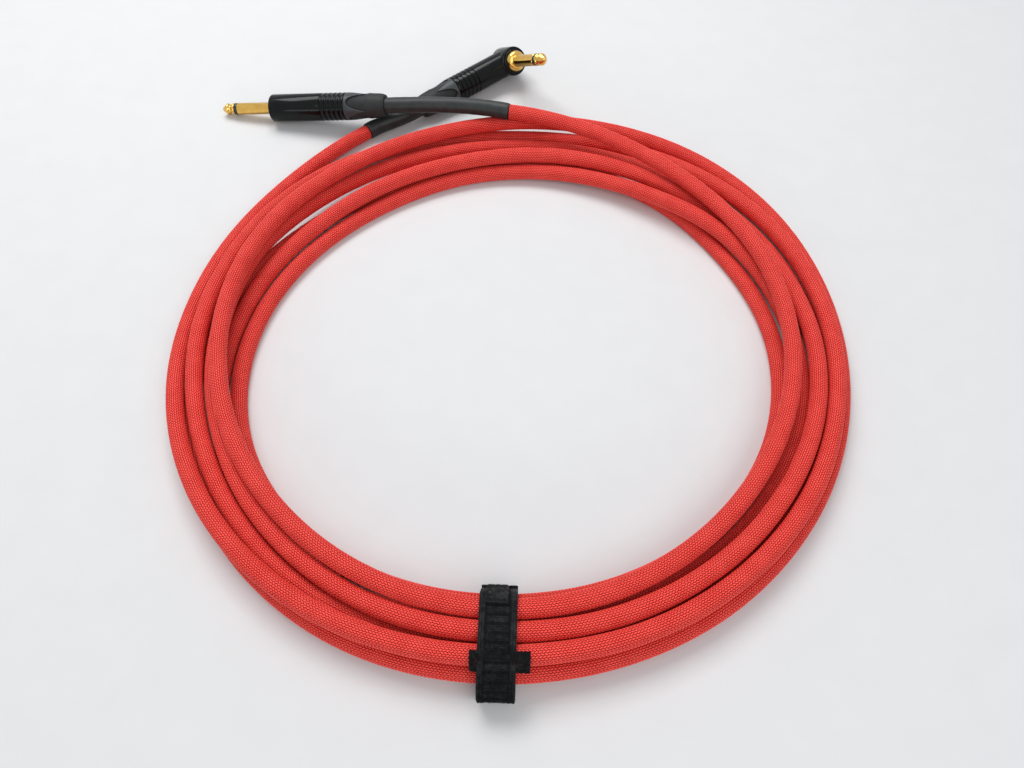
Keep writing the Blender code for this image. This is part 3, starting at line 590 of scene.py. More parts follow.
# ---------------------------------------------------------------- the braid
def braid():
    """The woven sleeve: columns of stitches with a groove between them, every stitch a low hump.
    Gives the piece, points along its middle and its length."""
    points, length = fine_route(STITCH_L / 2)
    points += COIL_AT
    rings, lines = len(points), 2 * COLUMNS
    ring, line = np.arange(rings)[:, None], np.arange(lines)[None, :]
    run = ring * STITCH_L / 2
    drift = 0.35 * np.sin(run / 0.31) + 0.2 * np.sin(run / 0.083 + 1.0)
    angle = math.tau * line / lines + drift
    raised = np.where(line % 2 == 0, -1.0, np.where((ring + line // 2) % 2 == 0, 1.0, 0.1))
    swell = (0.05 * MM * np.sin(run / 0.047 + 2 * np.sin(angle))
             + 0.04 * MM * np.sin(run / 0.0117 + angle))
    radius = CORD_D / 2 - 0.06 * MM + STITCH_RISE * raised + swell
    radius = radius + rng.normal(0, 0.02 * MM, (rings, lines))
    grid = ring_round(points, radius, angle)
    # What would sink into the floor is flattened softly on it
    soft, z = 0.25 * MM, grid[..., 2]
    grid[..., 2] = np.where(z < 2 * soft, soft * np.exp(np.clip(z / soft, -9, 2) / 2 - 1) * 2, z)
    verts = np.concatenate([grid.reshape(-1, 3), points[:1], points[-1:]])

    # Two triangles a cell, split along the stitch. The folded places lay the sleeve out in rows
    k, c = np.meshgrid(np.arange(rings - 1), np.arange(lines), indexing="ij")
    corners = {"a": (k, c), "b": (k + 1, c), "c": (k + 1, c + 1), "d": (k, c + 1)}
    even = (c // 2) % 2 == 0
    rows = 16
    per_row = -(-(rings - 1) // rows)
    row = k // per_row
    faces, values, folded = [], [], []
    for chosen, order in ((even, "acb"), (even, "adc"), (~even, "adb"), (~even, "bdc")):
        picked = [(corners[o][0][chosen], corners[o][1][chosen]) for o in order]
        at_row = row[chosen]
        faces.append(np.stack([i * lines + j % lines for i, j in picked], 1))
        values.append(np.stack([np.stack([i / 2, j / 2], -1) for i, j in picked], 1))
        folded.append(np.stack([np.stack([0.005 + 0.99 * (i - at_row * per_row) / per_row,
                                          (at_row + 0.05 + 0.9 * j / lines) / rows], -1)
                                for i, j in picked], 1))
    ends = np.arange(lines)
    following = (ends + 1) % lines
    last, middle = (rings - 1) * lines, rings * lines
    for cap in ((np.full(lines, middle), following, ends),
                (np.full(lines, middle + 1), last + ends, last + following)):
        faces.append(np.stack(cap, 1))
        values.append(np.zeros((lines, 3, 2)))
        folded.append(np.full((lines, 3, 2), 0.002))
    mesh = mesh_of("braid_sleeve", verts, faces, ("weave", values))
    layer = mesh.uv_layers.new(name="OFBake")
    folded = np.concatenate([f.reshape(-1, 2) for f in folded])
    layer.uv.foreach_set("vector", folded.astype(np.float32).ravel())
    return add("braid_sleeve", mesh, "red_braid", "lead", ["sleeve_coil"]), points[::8], length


SLEEVE, PATH, LENGTH = braid()


# ---------------------------------------------------------------- plugs
# Profiles, as (place along the axis, radius) in millimetres
NOSE = ((0, 0), (0.1, 0.42), (0.35, 0.82), (0.8, 1.22), (1.7, 1.92), (2.6, 2.6), (3.1, 2.94),
        (3.45, 3.1), (3.75, 3.1), (4.1, 2.92), (4.5, 2.52), (4.9, 2.2), (5.3, 2.08), (5.7, 2.22),
        (6.05, 2.6), (6.3, 2.93), (6.55, 3.07), (7.3, 3.07))
BOOT_OUTSIDE = ((0.8, 5.5), (0.8, 6.2), (1.0, 6.35), (12.0, 6.35), (12.7, 6.42), (13.4, 6.6),
                (14.2, 6.58), (15.2, 6.48), (17, 6.4), (19, 6.3), (20.6, 6.12), (21.3, 5.95),
                (21.45, 5.72), (21.6, 5.68), (21.8, 5.74), (22.1, 5.72), (22.4, 5.5), (22.5, 5.2))
FLANGE = ((0, 4.3), (0.15, 4.55), (0.5, 4.95), (1.0, 5.25), (1.6, 5.48), (2.2, 5.6), (2.8, 5.6),
          (3.0, 5.45), (3.0, 3.2))


def finger(plug, matrix, seat, neck_end):
    """The contact finger: tip with its neck, black ring and barrel, as one turned piece each."""
    rod_r, tube_bore, tube_r, barrel_bore = 1.1 * MM, 1.4 * MM, 1.95 * MM, 2.25 * MM
    tip_back = TIP_SHOWN_L - FINGER_L
    tip = in_mm(*NOSE, start=-FINGER_L) + [
        (tip_back - 0.12 * MM, 2.98 * MM), (tip_back, 2.9 * MM), (tip_back, rod_r),
        (neck_end + 2 * MM, rod_r), (neck_end + 2 * MM, 0)]
    r, edge = 0.975 * FINGER_R, 0.1 * MM
    front, back = tip_back + 0.05 * MM, tip_back + RING_L + 0.55 * MM
    ring = [(front, tube_bore), (front, r - edge), (front + 0.15 * MM, r), (back - 0.15 * MM, r),
            (back, r - edge), (back, tube_r), (neck_end, tube_r), (neck_end, tube_bore)]
    front = back + 0.04 * MM
    barrel = [(front, barrel_bore), (front, FINGER_R - 0.22 * MM), (front + 0.22 * MM, FINGER_R)]
    barrel += seat + [(neck_end, barrel_bore)]
    return [add(f"{name}_{plug}", turned(name, profile), look, "lead", [f"{node}_{plug}"],
                matrix=matrix)
            for name, profile, look, node in (
                ("tip", tip, "gold_plate", "tip_contact"),
                ("ring", ring, "black_plastic", "tip_insulator"),
                ("barrel", barrel, "gold_plate", "sleeve_contact"))]


def body_outline(length, front_radius):
    """Outside of a plug body, from its front face to the end of its spigot, with rounded ribs."""
    edge, low = 0.9 * MM, SHELL_R - RIB_DEPTH
    outline = [(-length, front_radius), (-length, SHELL_R - edge)]
    outline += [(-length + edge * (1 - math.cos(a)), SHELL_R - edge * (1 - math.sin(a)))
                for a in np.radians((15, 30, 45, 60, 75, 90))]
    groove, lip = 0.45 * RIB_PITCH, 0.14 * RIB_PITCH
    for rib in range(RIBS):
        x = (rib - RIBS) * RIB_PITCH
        for start, top, depth in ((x, SHELL_R, -RIB_DEPTH), (x + groove, low, RIB_DEPTH)):
            outline += [(start + lip * share - 0.1 * MM,
                         top + depth * (0.5 - 0.5 * math.cos(math.pi * share)))
                        for share in (0, 0.2, 0.5, 0.8, 1)]
    return outline + [(-0.25 * MM, SHELL_R), (-0.07 * MM, SHELL_R - 0.07 * MM),
                      (0, SHELL_R - 0.25 * MM), (0, SPIGOT_R), (SPIGOT_L, SPIGOT_R)]


def straight_shell(matrix):
    """The straight plug's ribbed body, with its stepped bore."""
    wall_back = 3 * MM - SHELL_L
    profile = body_outline(SHELL_L, 4.1 * MM) + [
        (SPIGOT_L, SPIGOT_BORE), (BORE_BACK, SPIGOT_BORE), (BORE_BACK, BODY_BORE),
        (wall_back, BODY_BORE), (wall_back, NECK_HOLE_R), (-SHELL_L + 0.3 * MM, NECK_HOLE_R)]
    add("plug_body_straight", turned("shell", profile), "gloss_black", "lead", ["shell_straight"],
        matrix=matrix)


def collar(plug, matrix, prong_deg):
    """Hard ring that screws to the body, cut into four points over the soft boot."""
    columns = 160
    front, base, tip = GAP, 1.9 * MM, 12 * MM
    inner, skin, soft = BOOT_R + 0.12 * MM, SHELL_R - 0.35 * MM, 0.3 * MM
    start = front + soft

    def outside(x):
        return SHELL_R + (skin - SHELL_R) * (x - front) / (tip - front)

    verts = []
    for column in range(columns):
        degrees = 360 * column / columns
        angle = math.radians(degrees + prong_deg)
        edge = base + (tip - base) * (abs((degrees % 90) - 45) / 45) ** 2.4
        section = [(front, inner), (front, SHELL_R - soft),
                   (front + 0.3 * soft, SHELL_R - 0.3 * soft), (start, SHELL_R)]
        for share in (0.12, 0.3, 0.5, 0.7, 0.85):
            x = start + share * (edge - soft - start)
            section.append((x, outside(x)))
        section += [(edge - soft, outside(edge)), (edge - 0.3 * soft, outside(edge) - 0.3 * soft),
                    (edge, outside(edge) - soft), (edge, inner)]
        verts += [(x, r * math.cos(angle), r * math.sin(angle)) for x, r in section]
    rows = len(section)
    c, i = np.meshgrid(np.arange(columns), np.arange(rows), indexing="ij")
    n, j = (c + 1) % columns, (i + 1) % rows
    faces = np.stack([c * rows + i, c * rows + j, n * rows + j, n * rows + i], -1).reshape(-1, 4)
    mesh = mesh_of("collar", verts, [faces])
    outward(mesh, 50)
    return add(f"collar_{plug}", mesh, "collar_grey", f"{plug}_boot", [f"boot_collar_{plug}"],
               matrix=matrix)


def boot(plug, matrix):
    """Soft boot: plain under the collar, a low bead behind the points and a rolled rear lip."""
    rear_r = SHRINK_R + 0.12 * MM
    profile = in_mm(*BOOT_OUTSIDE) + [
        (BOOT_L, rear_r + 0.2 * MM), (22.3 * MM, rear_r), (11 * MM, rear_r),
        (10.4 * MM, SPIGOT_BORE), (7 * MM, SPIGOT_BORE), (6.2 * MM, SPIGOT_R + GAP)]
    return add(f"boot_{plug}", turned("boot", profile), "soft_black", f"{plug}_boot",
               [f"boot_sleeve_{plug}"], matrix=matrix)


def shrink(plug, matrix, lead_end, arriving):
    """Heat-shrink on a smooth bend, drawn down a little between the boot and the braid's end."""
    along = (matrix.to_3x3() @ Vector((1, 0, 0))).normalized()
    front, straight_to = (matrix @ Vector((x, 0, 0))
                          for x in (16.5 * MM, BOOT_L + BOOT_TRAVEL + 1.5 * MM))
    end, steps = lead_end - 0.1 * MM * arriving, 60
    reach = (end - straight_to).length
    curve = [cubic(step / steps, straight_to, along, end, arriving, reach)
             for step in range(steps + 1)]
    lead_in = [front.lerp(straight_to, u / 8) for u in range(8)]
    points = np.array([tuple(p) for p in lead_in + curve])
    count, run = len(points), run_along(points)
    left = run[-1] - run
    radius = SHRINK_R - 0.05 * MM + 0.16 * MM * np.exp(-(left - 3 * MM) ** 2 / (4 * MM) ** 2)
    radius -= 0.3 * MM * np.exp(-left / (0.25 * MM))
    sides, inner = 64, 3.3 * MM
    angles = np.arange(sides) * math.tau / sides
    wrinkle = 0.025 * MM * np.sin(run[:, None] / (0.9 * MM) + 2.3 * np.sin(angles)[None, :])
    wrinkle += 0.02 * MM * np.sin(run[:, None] / (2.7 * MM) + 3 * angles[None, :])
    verts = np.concatenate([ring_round(points, r, angles).reshape(-1, 3) for r in (
        radius[:, None] + wrinkle, np.full((count, sides), inner))])
    round_at = np.arange(sides + 1) * SHRINK_R * math.tau / sides
    faces, values = two_sheets(run, round_at, sides)
    s = np.arange(sides)
    n = (s + 1) % sides
    for ring, way in ((0, -1), (count - 1, 1)):
        outer, inside = ring * sides, (count + ring) * sides
        faces.append(np.stack([outer + s, outer + n, inside + n, inside + s][::way], -1))
        values.append(np.zeros((sides, 4, 2)) + run[ring])
    mesh = mesh_of("shrink", verts, faces, ("turned", values))
    outward(mesh, 50)
    return add(f"heat_shrink_skin_{plug}", mesh, "heat_shrink", "lead", [f"heat_shrink_{plug}"])


def join(name, first, others, cuts=()):
    """One mesh of several turned meshes, joined and cut by exact booleans."""
    target, *tools = objects = [placed(name, mesh) for mesh in (first, *others, *cuts)]
    for tool in tools:
        step = target.modifiers.new("step", "BOOLEAN")
        step.operation = "UNION" if tool.data in others else "DIFFERENCE"
        step.object = tool
    drawn = target.evaluated_get(bpy.context.evaluated_depsgraph_get())
    mesh = bpy.data.meshes.new_from_object(drawn)
    for made in objects:
        bpy.data.objects.remove(made, do_unlink=True)
    mesh.materials.clear()
    mesh.shade_smooth()
    mesh.set_sharp_from_angle(angle=math.radians(30))
    return mesh


def straight_plug(middle, lead_end, arriving):
    """The straight plug's pieces, at the start of the lead."""
    along = STRAIGHT_ALONG.normalized()
    seat_at = middle + STRAIGHT_TIP + FINGER_L * along
    neck_end, flange_r = 5.9 * MM, 5.4 * MM
    collar_r, wall = 3.7 * MM, 3.3 * MM
    seat = [(-4.4 * GAP, FINGER_R), (-4 * GAP, FINGER_R + 0.1 * MM), (-4 * GAP, SEAT_R),
            (-3.6 * GAP, collar_r), (-1.3 * GAP, collar_r), (-GAP, SEAT_R), (-GAP, NECK_R),
            (wall, NECK_R), (wall, flange_r), (neck_end, flange_r)]
    finger("straight", frame_at(seat_at, along), seat, neck_end)
    rear = frame_at(seat_at + SHELL_L * along, along)
    straight_shell(rear)
    collar("straight", rear, 78)
    boot("straight", rear)
    shrink("straight", rear, lead_end, arriving)


def angle_housing(axis_at, matrix, rear, ring_r, recess, wall):
    """The round head and the ribbed barrel, joined, with the finger's seat and the bore cut out."""
    face, back, edge = HEAD_FACE_INSET, axis_at + HEAD_BACK, 1.6 * MM
    arc = np.radians(np.arange(0, 91, 15))
    outline = [(face, 0)]
    outline += [(face + 0.6 * edge * (1 - math.cos(a)), HEAD_R - 0.6 * edge * (1 - math.sin(a)))
                for a in arc]
    outline += [(back - edge * (1 - math.cos(a)), HEAD_R - edge * (1 - math.sin(a)))
                for a in arc[::-1]]
    head = turned("head", outline + [(back, 0)])
    barrel = turned("outside", body_outline(BARREL_L, 0) + [(SPIGOT_L, 0)])
    past, cavity_r, hole_r = face - MM, 5.8 * MM, ring_r + 0.12 * MM
    cut = turned("cut", [
        (past, 0), (past, hole_r), (face + recess, hole_r), (face + recess, NECK_HOLE_R),
        (face + recess + wall, NECK_HOLE_R), (face + recess + wall, cavity_r),
        (back - 2 * MM, cavity_r), (back - 2 * MM, 0)])
    throat_end, throat_r, bore_end = 9 * MM - BARREL_L, 5 * MM, 6.5 * MM
    bore = turned("bore", [
        (-BARREL_L, 0), (-BARREL_L, throat_r), (throat_end, throat_r), (throat_end, BODY_BORE),
        (BORE_BACK, BODY_BORE), (BORE_BACK, SPIGOT_BORE), (bore_end, SPIGOT_BORE), (bore_end, 0)])
    for mesh, place in ((head, matrix), (barrel, rear), (cut, matrix), (bore, rear)):
        mesh.transform(place)
    return add("plug_body_angle", join("housing", head, [barrel], [cut, bore]), "gloss_black",
               "lead", ["housing_angle"])


def angle_plug(middle, lead_end, arriving):
    """The right-angle plug's pieces, which are at the far end of the lead."""
    way = ANGLE_BARREL.normalized()
    finger_way = (ANGLE_FINGER - ANGLE_FINGER.dot(way) * way).normalized()
    axis_at, recess, wall = HEAD_FACE_INSET + HEAD_FRONT, 1.3 * MM, 1.8 * MM
    matrix = frame_at(middle + ANGLE_HEAD - axis_at * finger_way, finger_way, way)
    rear = frame_at(middle + ANGLE_HEAD + BARREL_L * way, way)
    neck_end = HEAD_FACE_INSET + recess + wall + 1 * MM
    seat = [(-0.35 * MM, FINGER_R), (-0.1 * MM, FINGER_R + 0.1 * MM), (0, FINGER_R + 0.35 * MM)]
    pieces = finger("angle", matrix, seat + in_mm(*FLANGE) + [(neck_end, NECK_R)], neck_end)
    ring_r, ring_back = 6.6 * MM, HEAD_FACE_INSET + recess - 0.1 * MM
    profile = in_mm((3.2, 3.5), (3.2, 5.9), (3.35, 6.25), (3.7, 6.5)) + [
        (4.0 * MM, ring_r), (ring_back, ring_r), (ring_back, NECK_HOLE_R)]
    pieces.append(add("face_ring", turned("ring", profile), "gloss_black", "lead",
                      ["face_ring_angle"], matrix=matrix))
    return pieces + [angle_housing(axis_at, matrix, rear, ring_r, recess, wall),
                     collar("angle", rear, 75), boot("angle", rear),
                     shrink("angle", rear, lead_end, arriving)]


def end_of_lead(knot, following):
    """Place of an end of the lead, and the direction from it into the lead."""
    return Vector(KNOTS[knot] + COIL_AT), Vector(KNOTS[following] - KNOTS[knot]).normalized()


straight_plug(Vector(COIL_AT), *end_of_lead(0, 1))
ANGLE_PIECES = angle_plug(Vector(COIL_AT), *end_of_lead(-1, -2))


# ---------------------------------------------------------------- the tie
def slab(line, width, middle, thickness):
    """A plain closed strip about a line in the XZ plane, as a cutting tool."""
    line = np.array(line)
    out = outer_side(line) * thickness / 2
    verts, count = [], len(line)
    for offset, y in ((-out, -1), (out, -1), (out, 1), (-out, 1)):
        edge = line + offset
        side = np.full(count, middle + y * width / 2)
        verts.append(np.stack([edge[:, 0], side, edge[:, 1]], -1))
    k = np.arange(count - 1)
    sides = [np.stack([a * count + k, a * count + k + 1, b * count + k + 1, b * count + k], -1)
             for a, b in ((0, 1), (1, 2), (2, 3), (3, 0))]
    ends = [[(q, q + count, q + 2 * count, q + 3 * count)] for q in (0, count - 1)]
    mesh = mesh_of("slab", np.concatenate(verts), sides + ends)
    outward(mesh)
    return mesh


def tie_section():
    """Centres of the lead's strands under the tie, as (distance from the middle, height)."""
    half = math.degrees(TIE_W / 2 / COIL_R_AT_TIE)
    strands = []
    for degrees in np.linspace(TIE_DEG - half, TIE_DEG + half, 9):
        place = (90 - degrees) % 360 * POINTS_PER_TURN / 360
        for turn in range(TURNS):
            i = int(turn * POINTS_PER_TURN + place)
            if i + 1 < len(KNOTS):
                x, y, z = KNOTS[i] + (place % 1) * (KNOTS[i + 1] - KNOTS[i])
                strands.append((math.hypot(x, y) * math.cos(math.radians(degrees - TIE_DEG)), z))
    return np.array(strands)


def bundle_wrap(strands):
    """A way round the bundle, clockwise from the head. Gives the place at a run and a distance
    out, the run to a direction, and the runs of its corners."""
    degrees = np.linspace(HEAD_DEG, HEAD_DEG - 360, 25)
    corners = []
    for angle in np.radians(degrees):
        way = np.array((math.cos(angle), math.sin(angle)))
        corners.append(strands[np.argmax(strands @ way)] + CORD_D / 2 * way)
    corners = np.array(corners)
    run = run_along(corners)
    lowest = TIE_FLOOR_GAP + TIE_PLY / 2

    def at(distance, out):
        along = distance % run[-1]
        angle = math.radians(np.interp(along, run, degrees))
        x = np.interp(along, run, corners[:, 0]) + out * math.cos(angle)
        z = np.interp(along, run, corners[:, 1]) + out * math.sin(angle)
        return x, max(z, lowest)

    def run_to(direction):
        return float(np.interp((HEAD_DEG - direction) % 360, HEAD_DEG - degrees, run))
    return at, run_to, run


def softened(path):
    """A path resampled at even steps, its corners eased without moving its ends."""
    path = np.array(path)
    for _ in range(2):
        run = run_along(path)
        steps = np.linspace(0, run[-1], max(4, int(round(run[-1] / STRAP_STEP)) + 1))
        path = np.stack([np.interp(steps, run, path[:, i]) for i in range(2)], axis=1)
        for _ in range(3):
            ease(path, 0.25)
    return path


def strap(name, path, width, middle, relief):
    """A strap along a path in the XZ plane, with relief(run, across) raised on its outer side.
    Gives the mesh, which keeps the run and the place across, and the grid of its outer side with
    its normals."""
    run, out, column_step = run_along(path), outer_side(path), 0.27 * MM
    columns = max(8, int(round(width / column_step)))
    share = np.linspace(-1, 1, columns)
    across = share * width / 2
    # The strap's edges are rounded over the last 6 per cent of its half width
    edge = np.sqrt(np.clip(1 - ((np.abs(share) - 0.94) / 0.06).clip(0, 1) ** 2, 0, 1))
    thick = TIE_PLY / 2 * (0.25 + 0.75 * edge)[None, :]
    upper = thick + relief(run[:, None], across[None, :])
    lower = np.broadcast_to(-thick, upper.shape)
    count = len(path)
    sheets = []
    for height in (upper, lower):
        x = path[:, None, 0] + out[:, None, 0] * height
        z = path[:, None, 1] + out[:, None, 1] * height
        y = np.broadcast_to(middle + across[None, :], x.shape)
        sheets.append(np.stack([x, y, z], -1))
    verts = np.concatenate([s.reshape(-1, 3) for s in sheets])
    faces, values = two_sheets(run, across, columns)
    base = count * columns
    rows = np.arange(count) * columns
    ring = np.concatenate([rows, rows[-1] + np.arange(1, columns),
                           rows[-2::-1] + columns - 1, np.arange(columns - 2, 0, -1)])
    following = np.roll(ring, -1)
    faces.append(np.stack([ring, following, following + base, ring + base], -1))
    values.append(np.stack([np.stack([run[q // columns], across[q % columns]], -1)
                            for q in (ring, following, following, ring)], -2))
    mesh = mesh_of(name, verts, faces, ("strap", values))
    outward(mesh)
    normals = np.stack([out[:, 0], np.zeros(count), out[:, 1]], -1)
    return mesh, sheets[0], normals


def pile(name, surface, normals, count, chosen, matrix, body, length=0.75 * MM, lean=0.5,
         look_name="strap_pile"):
    """Fibre loops and hooks on a strap's outer side, where chosen(row, share across) says so."""
    rows, columns = surface.shape[:2]
    i, j = rng.integers(1, rows - 2, count), rng.integers(1, columns - 2, count)
    keep = chosen(i, j / columns)
    i, j = i[keep], j[keep]
    step = surface[i + 1, j] - surface[i, j]
    where = surface[i, j] + step * rng.random((len(i), 1))
    normal = normals[i]
    step = unit(step)
    wide = np.cross(normal, step)
    turn = rng.random(len(i)) * math.tau
    level = np.cos(turn)[:, None] * step + np.sin(turn)[:, None] * wide
    third = np.cross(normal, level)
    size = length * (0.6 + 0.7 * rng.random(len(i)))
    tilt = lean * rng.normal(0, 1, len(i))
    thick, sunk = 0.075 * MM, 0.08 * MM
    arcs = np.radians((0, 45, 90, 135, 180))
    verts = []
    for arc in arcs:
        centre = (where + (0.42 * size * -math.cos(arc))[:, None] * level
                  + (size * 0.62 * math.sin(arc) - sunk)[:, None] * normal
                  + (size * tilt * math.sin(arc) * 0.5)[:, None] * third)
        radial = math.cos(arc) * level * -1 + math.sin(arc) * normal
        for corner in np.radians((0, 120, 240)):
            verts.append(centre + thick * (math.cos(corner) * radial + math.sin(corner) * third))
    verts = np.stack(verts, 1)
    total, per = verts.shape[:2]
    start = (np.arange(total) * per)[:, None]
    faces = [start + np.array([a + s, a + (s + 1) % 3, a + 3 + (s + 1) % 3, a + 3 + s])
             for a, s in product(range(0, per - 3, 3), range(3))]
    ends = [start + np.array(end) for end in ((0, 2, 1), (per - 3, per - 2, per - 1))]
    mesh = mesh_of(name, verts.reshape(-1, 3), [np.concatenate(faces), np.concatenate(ends)])
    return add(name, mesh, look_name, body, (), "strap_black", matrix)


def ribs(run, across):
    """Woven middle with cross ribs, and a smooth selvedge of a few cords along each side."""
    inside, height = (np.abs(across) < SELVEDGE_AT).astype(float), 0.08 * MM
    rungs = height * np.cos(4 * math.tau * run / RUNG_PITCH) - 0.14 * MM * (
        0.5 + 0.5 * np.cos(math.tau * run / RUNG_PITCH)) ** 5
    columns = 0.05 * MM * np.cos(math.tau * across / THREAD_PITCH)
    cords = height * np.cos(math.tau * across / SELVEDGE_PITCH)
    return (rungs + columns) * inside + (cords + height) * (1 - inside) - height


def rough(run, across):
    """Uneven felted surface of the hook side and of the head."""
    waves = (np.sin(run / (0.31 * MM) + 2.1 * np.sin(across / (0.9 * MM)))
             + np.sin(across / (0.37 * MM) + 1.7 * np.sin(run / (0.7 * MM))))
    return 0.06 * MM * waves


def band(at, matrix, corners, tab_root, first, second):
    """The strap once round the bundle, out through the slot and back over itself to the tab."""
    around, margin = corners[-1], 1 * MM
    head, slot = TIE_HEAD_L / 2, SLOT_L / 2
    in_slot, landed = (slot, 2.4 * MM), (17 * MM, second)
    fold = [(-head, first), (-slot, first), in_slot] + in_mm(
        (4, 4.5), (7, 6.3), (10, 6.6), (12.5, 5.6), (14.5, 3.4)) + [landed]
    run = [(head + GAP, first)]
    run += [(c, first) for c in corners if head + margin < c < around - head - margin]
    run += [(around + s, out) for s, out in fold]
    run += [(around + c, second) for c in corners
            if landed[0] + margin < c < tab_root - GAP - margin]
    run += [(around + tab_root - GAP, second)]
    path = softened([at(s, out) for s, out in run])
    mesh, surface, normals = strap("tie_strap", path, BAND_SHOWN_W, BAND_SHOWN_ASIDE, ribs)
    add("tie_strap", mesh, "strap_black", "lead", ["tie_band"], matrix=matrix)
    later = len(path) // 3
    entering, through, over = (
        later + int(np.argmin(np.linalg.norm(path[later:] - at(around + s, out), axis=1)))
        for s, out in ((-head, first), in_slot, landed))
    pile("strap_loops", surface, normals, 9000, lambda i, share: (
        (i > through) & (i < over) & (share > 0.02) & (share < 0.98)), matrix, "lead")
    pile("strap_lint", surface, normals, 9000, lambda i, share: (
        (i > 2 * entering - through) & (i < entering) & (share > 0.18) & (share < 0.82)),
        matrix, "lead", 0.45 * MM)


def slotted_head(at, matrix, around):
    """The wide head, which leans from its front to its rear, with the slot cut out."""
    front_out, rear_out = 2.2 * MM, 0.9 * MM

    def line(half, count):
        lean = (rear_out - front_out) / 2
        return [at(around + s, front_out + lean * (2 * s / TIE_HEAD_L + 1))
                for s in np.linspace(-half, half, count)]
    path = softened(line(TIE_HEAD_L / 2, 9))
    mesh, surface, normals = strap("head", path, TIE_HEAD_W, TIE_HEAD_ASIDE, rough)
    opening = slab(line(SLOT_L / 2, 5), BAND_SHOWN_W + 0.5 * MM, BAND_SHOWN_ASIDE, 4 * TIE_PLY)
    add("tie_head_plate", join("head", mesh, [], [opening]), "strap_pile", "lead", ["tie_head"],
        "strap_black", matrix)
    rows = len(surface)
    pile("head_loops", surface, normals, 700, lambda i, share: (
        (np.abs(i / rows - 0.5) > 0.3) | (share > 0.88) | (share < 0.12)), matrix, "lead",
        0.6 * MM)


def tab(at, matrix, corners, root, end, out):
    """The strap's narrow loose end, with a fringe at its cut."""
    margin = 1 * MM
    ends = [root] + [c for c in corners if root + margin < c < end - margin] + [end]
    path = softened([at(s, out) for s in ends])
    aside = TAB_ASIDE + (TAB_W - TAB_SHOWN_W) / 2
    mesh, surface, normals = strap("tab", path, TAB_SHOWN_W, aside, rough)
    add("tie_tab_end", mesh, "strap_tab", "tie_end", ["tie_tab"], "strap_black", matrix)
    rows = len(surface)
    pile("tab_loops", surface, normals, 900, lambda i, share: share > -1, matrix, "tie_end",
         0.4 * MM, 0.5, "strap_tab")
    pile("tab_fringe", surface, normals, 1500, lambda i, share: i > rows - 6, matrix, "tie_end",
         0.7 * MM, 0.9, "strap_tab")


def tie():
    """The hook-and-loop strap: the band with its fold, the slotted head and the loose end."""
    matrix = Matrix.Translation(Vector(COIL_AT)) @ Matrix.Rotation(math.radians(TIE_DEG), 4, "Z")
    at, run_to, corners = bundle_wrap(tie_section())
    first = GAP + TIE_PLY / 2
    second = first + TIE_PLY + GAP
    tab_root = run_to(TAB_ROOT_DEG)
    band(at, matrix, corners, tab_root, first, second)
    slotted_head(at, matrix, corners[-1])
    tab(at, matrix, corners, tab_root, run_to(90) + TAB_SHOWN_L, second)


tuple(PATH[0])

# CAD nodes that stay in the model get their material by their record slot
for entry in frame["record"]["subparts"]:
    node = frame["nodes"][entry["node"]]
    node.data.materials.clear()
    node.data.materials.append(LOOKS[entry["material_slot"]])


# ---------------------------------------------------------------- floor, light and camera
BACKGROUND = (0.80, 0.82, 0.84)


def looked_at(tree):
    """1 for camera, glossy and transmission rays, and 0 for those that light the object."""
    rays = add_node(tree, "LightPath").outputs
    camera_ray, *others = (Value(rays[f"Is {kind} Ray"])
                           for kind in ("Camera", "Glossy", "Transmission"))
    return camera_ray.at_least(others[0]).at_least(others[1])


def mixed(tree, factor, first, second, output):
    """Show two shaders, mixed by a factor, at the output node of a tree."""
    mix = tree.nodes.new("ShaderNodeMixShader")
    for value, socket in zip((factor, first.outputs[0], second.outputs[0]), mix.inputs):
        connect(value, socket)
    feed(tree.nodes[output], Surface=mix.outputs[0])


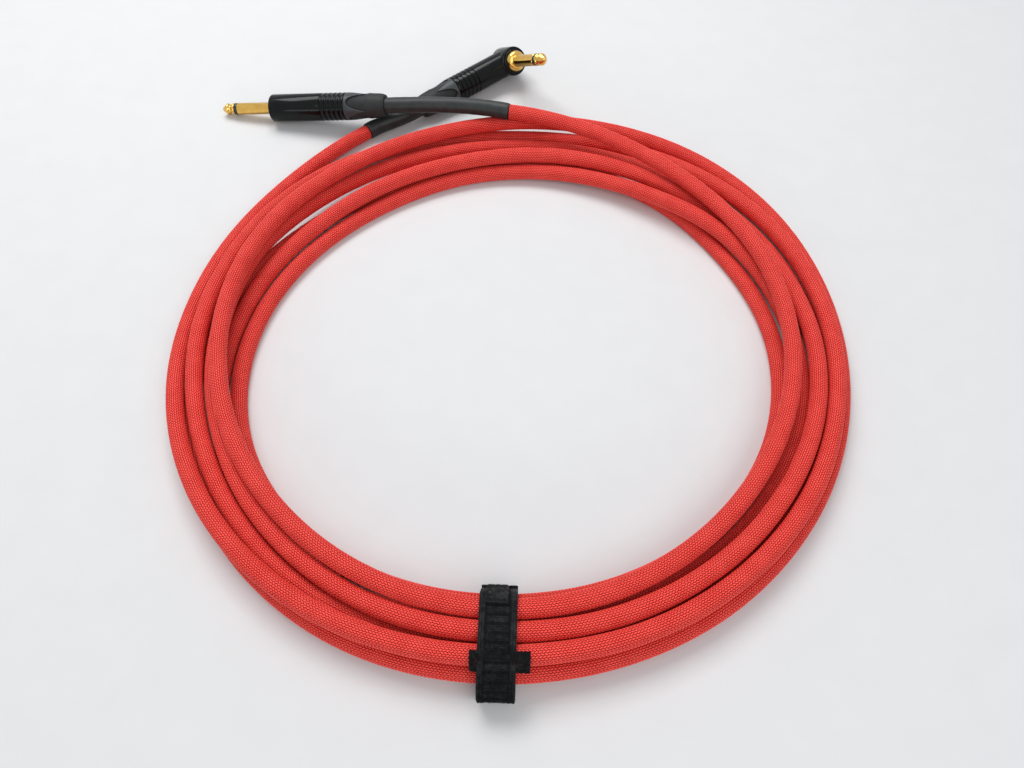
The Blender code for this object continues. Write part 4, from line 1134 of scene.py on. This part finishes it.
def floor():
    mesh = mesh_of("floor", [(-3, -3, 0), (3, -3, 0), (3, 3, 0), (-3, 3, 0)], [[(0, 1, 2, 3)]],
                   flat=True)
    pale, tree, shader = material("floor_pale", (0.74, 0.74, 0.74), 0.85, specular=0.15)
    cloud = ramp(noise(tree, 60.0, 5.0), (0.3, (0.732,) * 3), (0.7, (0.748,) * 3))
    feed(shader, Base_Color=cloud)
    # Far from the object the floor fades into the background, for what looks at it alone
    place = add_node(tree, "TexCoord").outputs["Object"]
    away = tree.nodes.new("ShaderNodeVectorMath")
    away.operation = "LENGTH"
    connect(place, away.inputs[0])
    fade = add_node(tree, "MapRange", Value=away.outputs["Value"], From_Min=0.45, From_Max=1.7,
                    To_Min=0.0, To_Max=1.0)
    fade.interpolation_type = "SMOOTHSTEP"
    glow = add_node(tree, "Emission", Color=(*BACKGROUND, 1.0))
    mixed(tree, Value(fade.outputs["Result"]) * looked_at(tree), shader, glow, "Material Output")
    mesh.materials.append(pale)
    placed("floor", mesh)


def lamp(name, place, target, size, power, colour=(1, 1, 1)):
    light = bpy.data.lights.new(name, "AREA")
    light.shape, light.size, light.size_y = "RECTANGLE", size[0], size[1]
    light.energy, light.color = power, colour
    made = placed(name, light)
    made.location = place
    made.rotation_euler = (Vector(target) - Vector(place)).to_track_quat("-Z", "Y").to_euler()


def studio():
    world = bpy.data.worlds.new("studio")
    world.use_nodes = True
    tree = world.node_tree
    light = feed(tree.nodes["Background"], Color=(0.9, 0.95, 1.0, 1.0), Strength=0.42)
    seen = add_node(tree, "Background", Color=(*BACKGROUND, 1.0))
    mixed(tree, looked_at(tree), light, seen, "World Output")
    bpy.context.scene.world = world
    lamp("key", (-0.25, 0.55, 0.95), (0, 0, 0), (0.8, 0.5), 9.0)
    lamp("fill", (0.35, -0.75, 0.9), (0, 0, 0), (0.9, 0.7), 4.0)
    lamp("gloss", (-0.1, -1.5, 0.40), (0, 0.1, 0), (1.8, 0.2), 4.0, (0.92, 1.0, 0.97))


def camera():
    """The photograph's view: 33 degrees off straight down, from the near side."""
    tilt = math.radians(56.8)
    made = placed("camera", bpy.data.cameras.new("camera"))
    made.data.sensor_width, made.data.lens = 36.0, 29.88
    made.location = (0.00496, -0.2508, 0.3176)
    made.rotation_euler = (math.radians(90) - tilt, 0, 0)
    bpy.context.scene.camera = made


floor()
studio()
camera()
tie()
view = bpy.context.scene.view_settings
view.view_transform = "Standard"
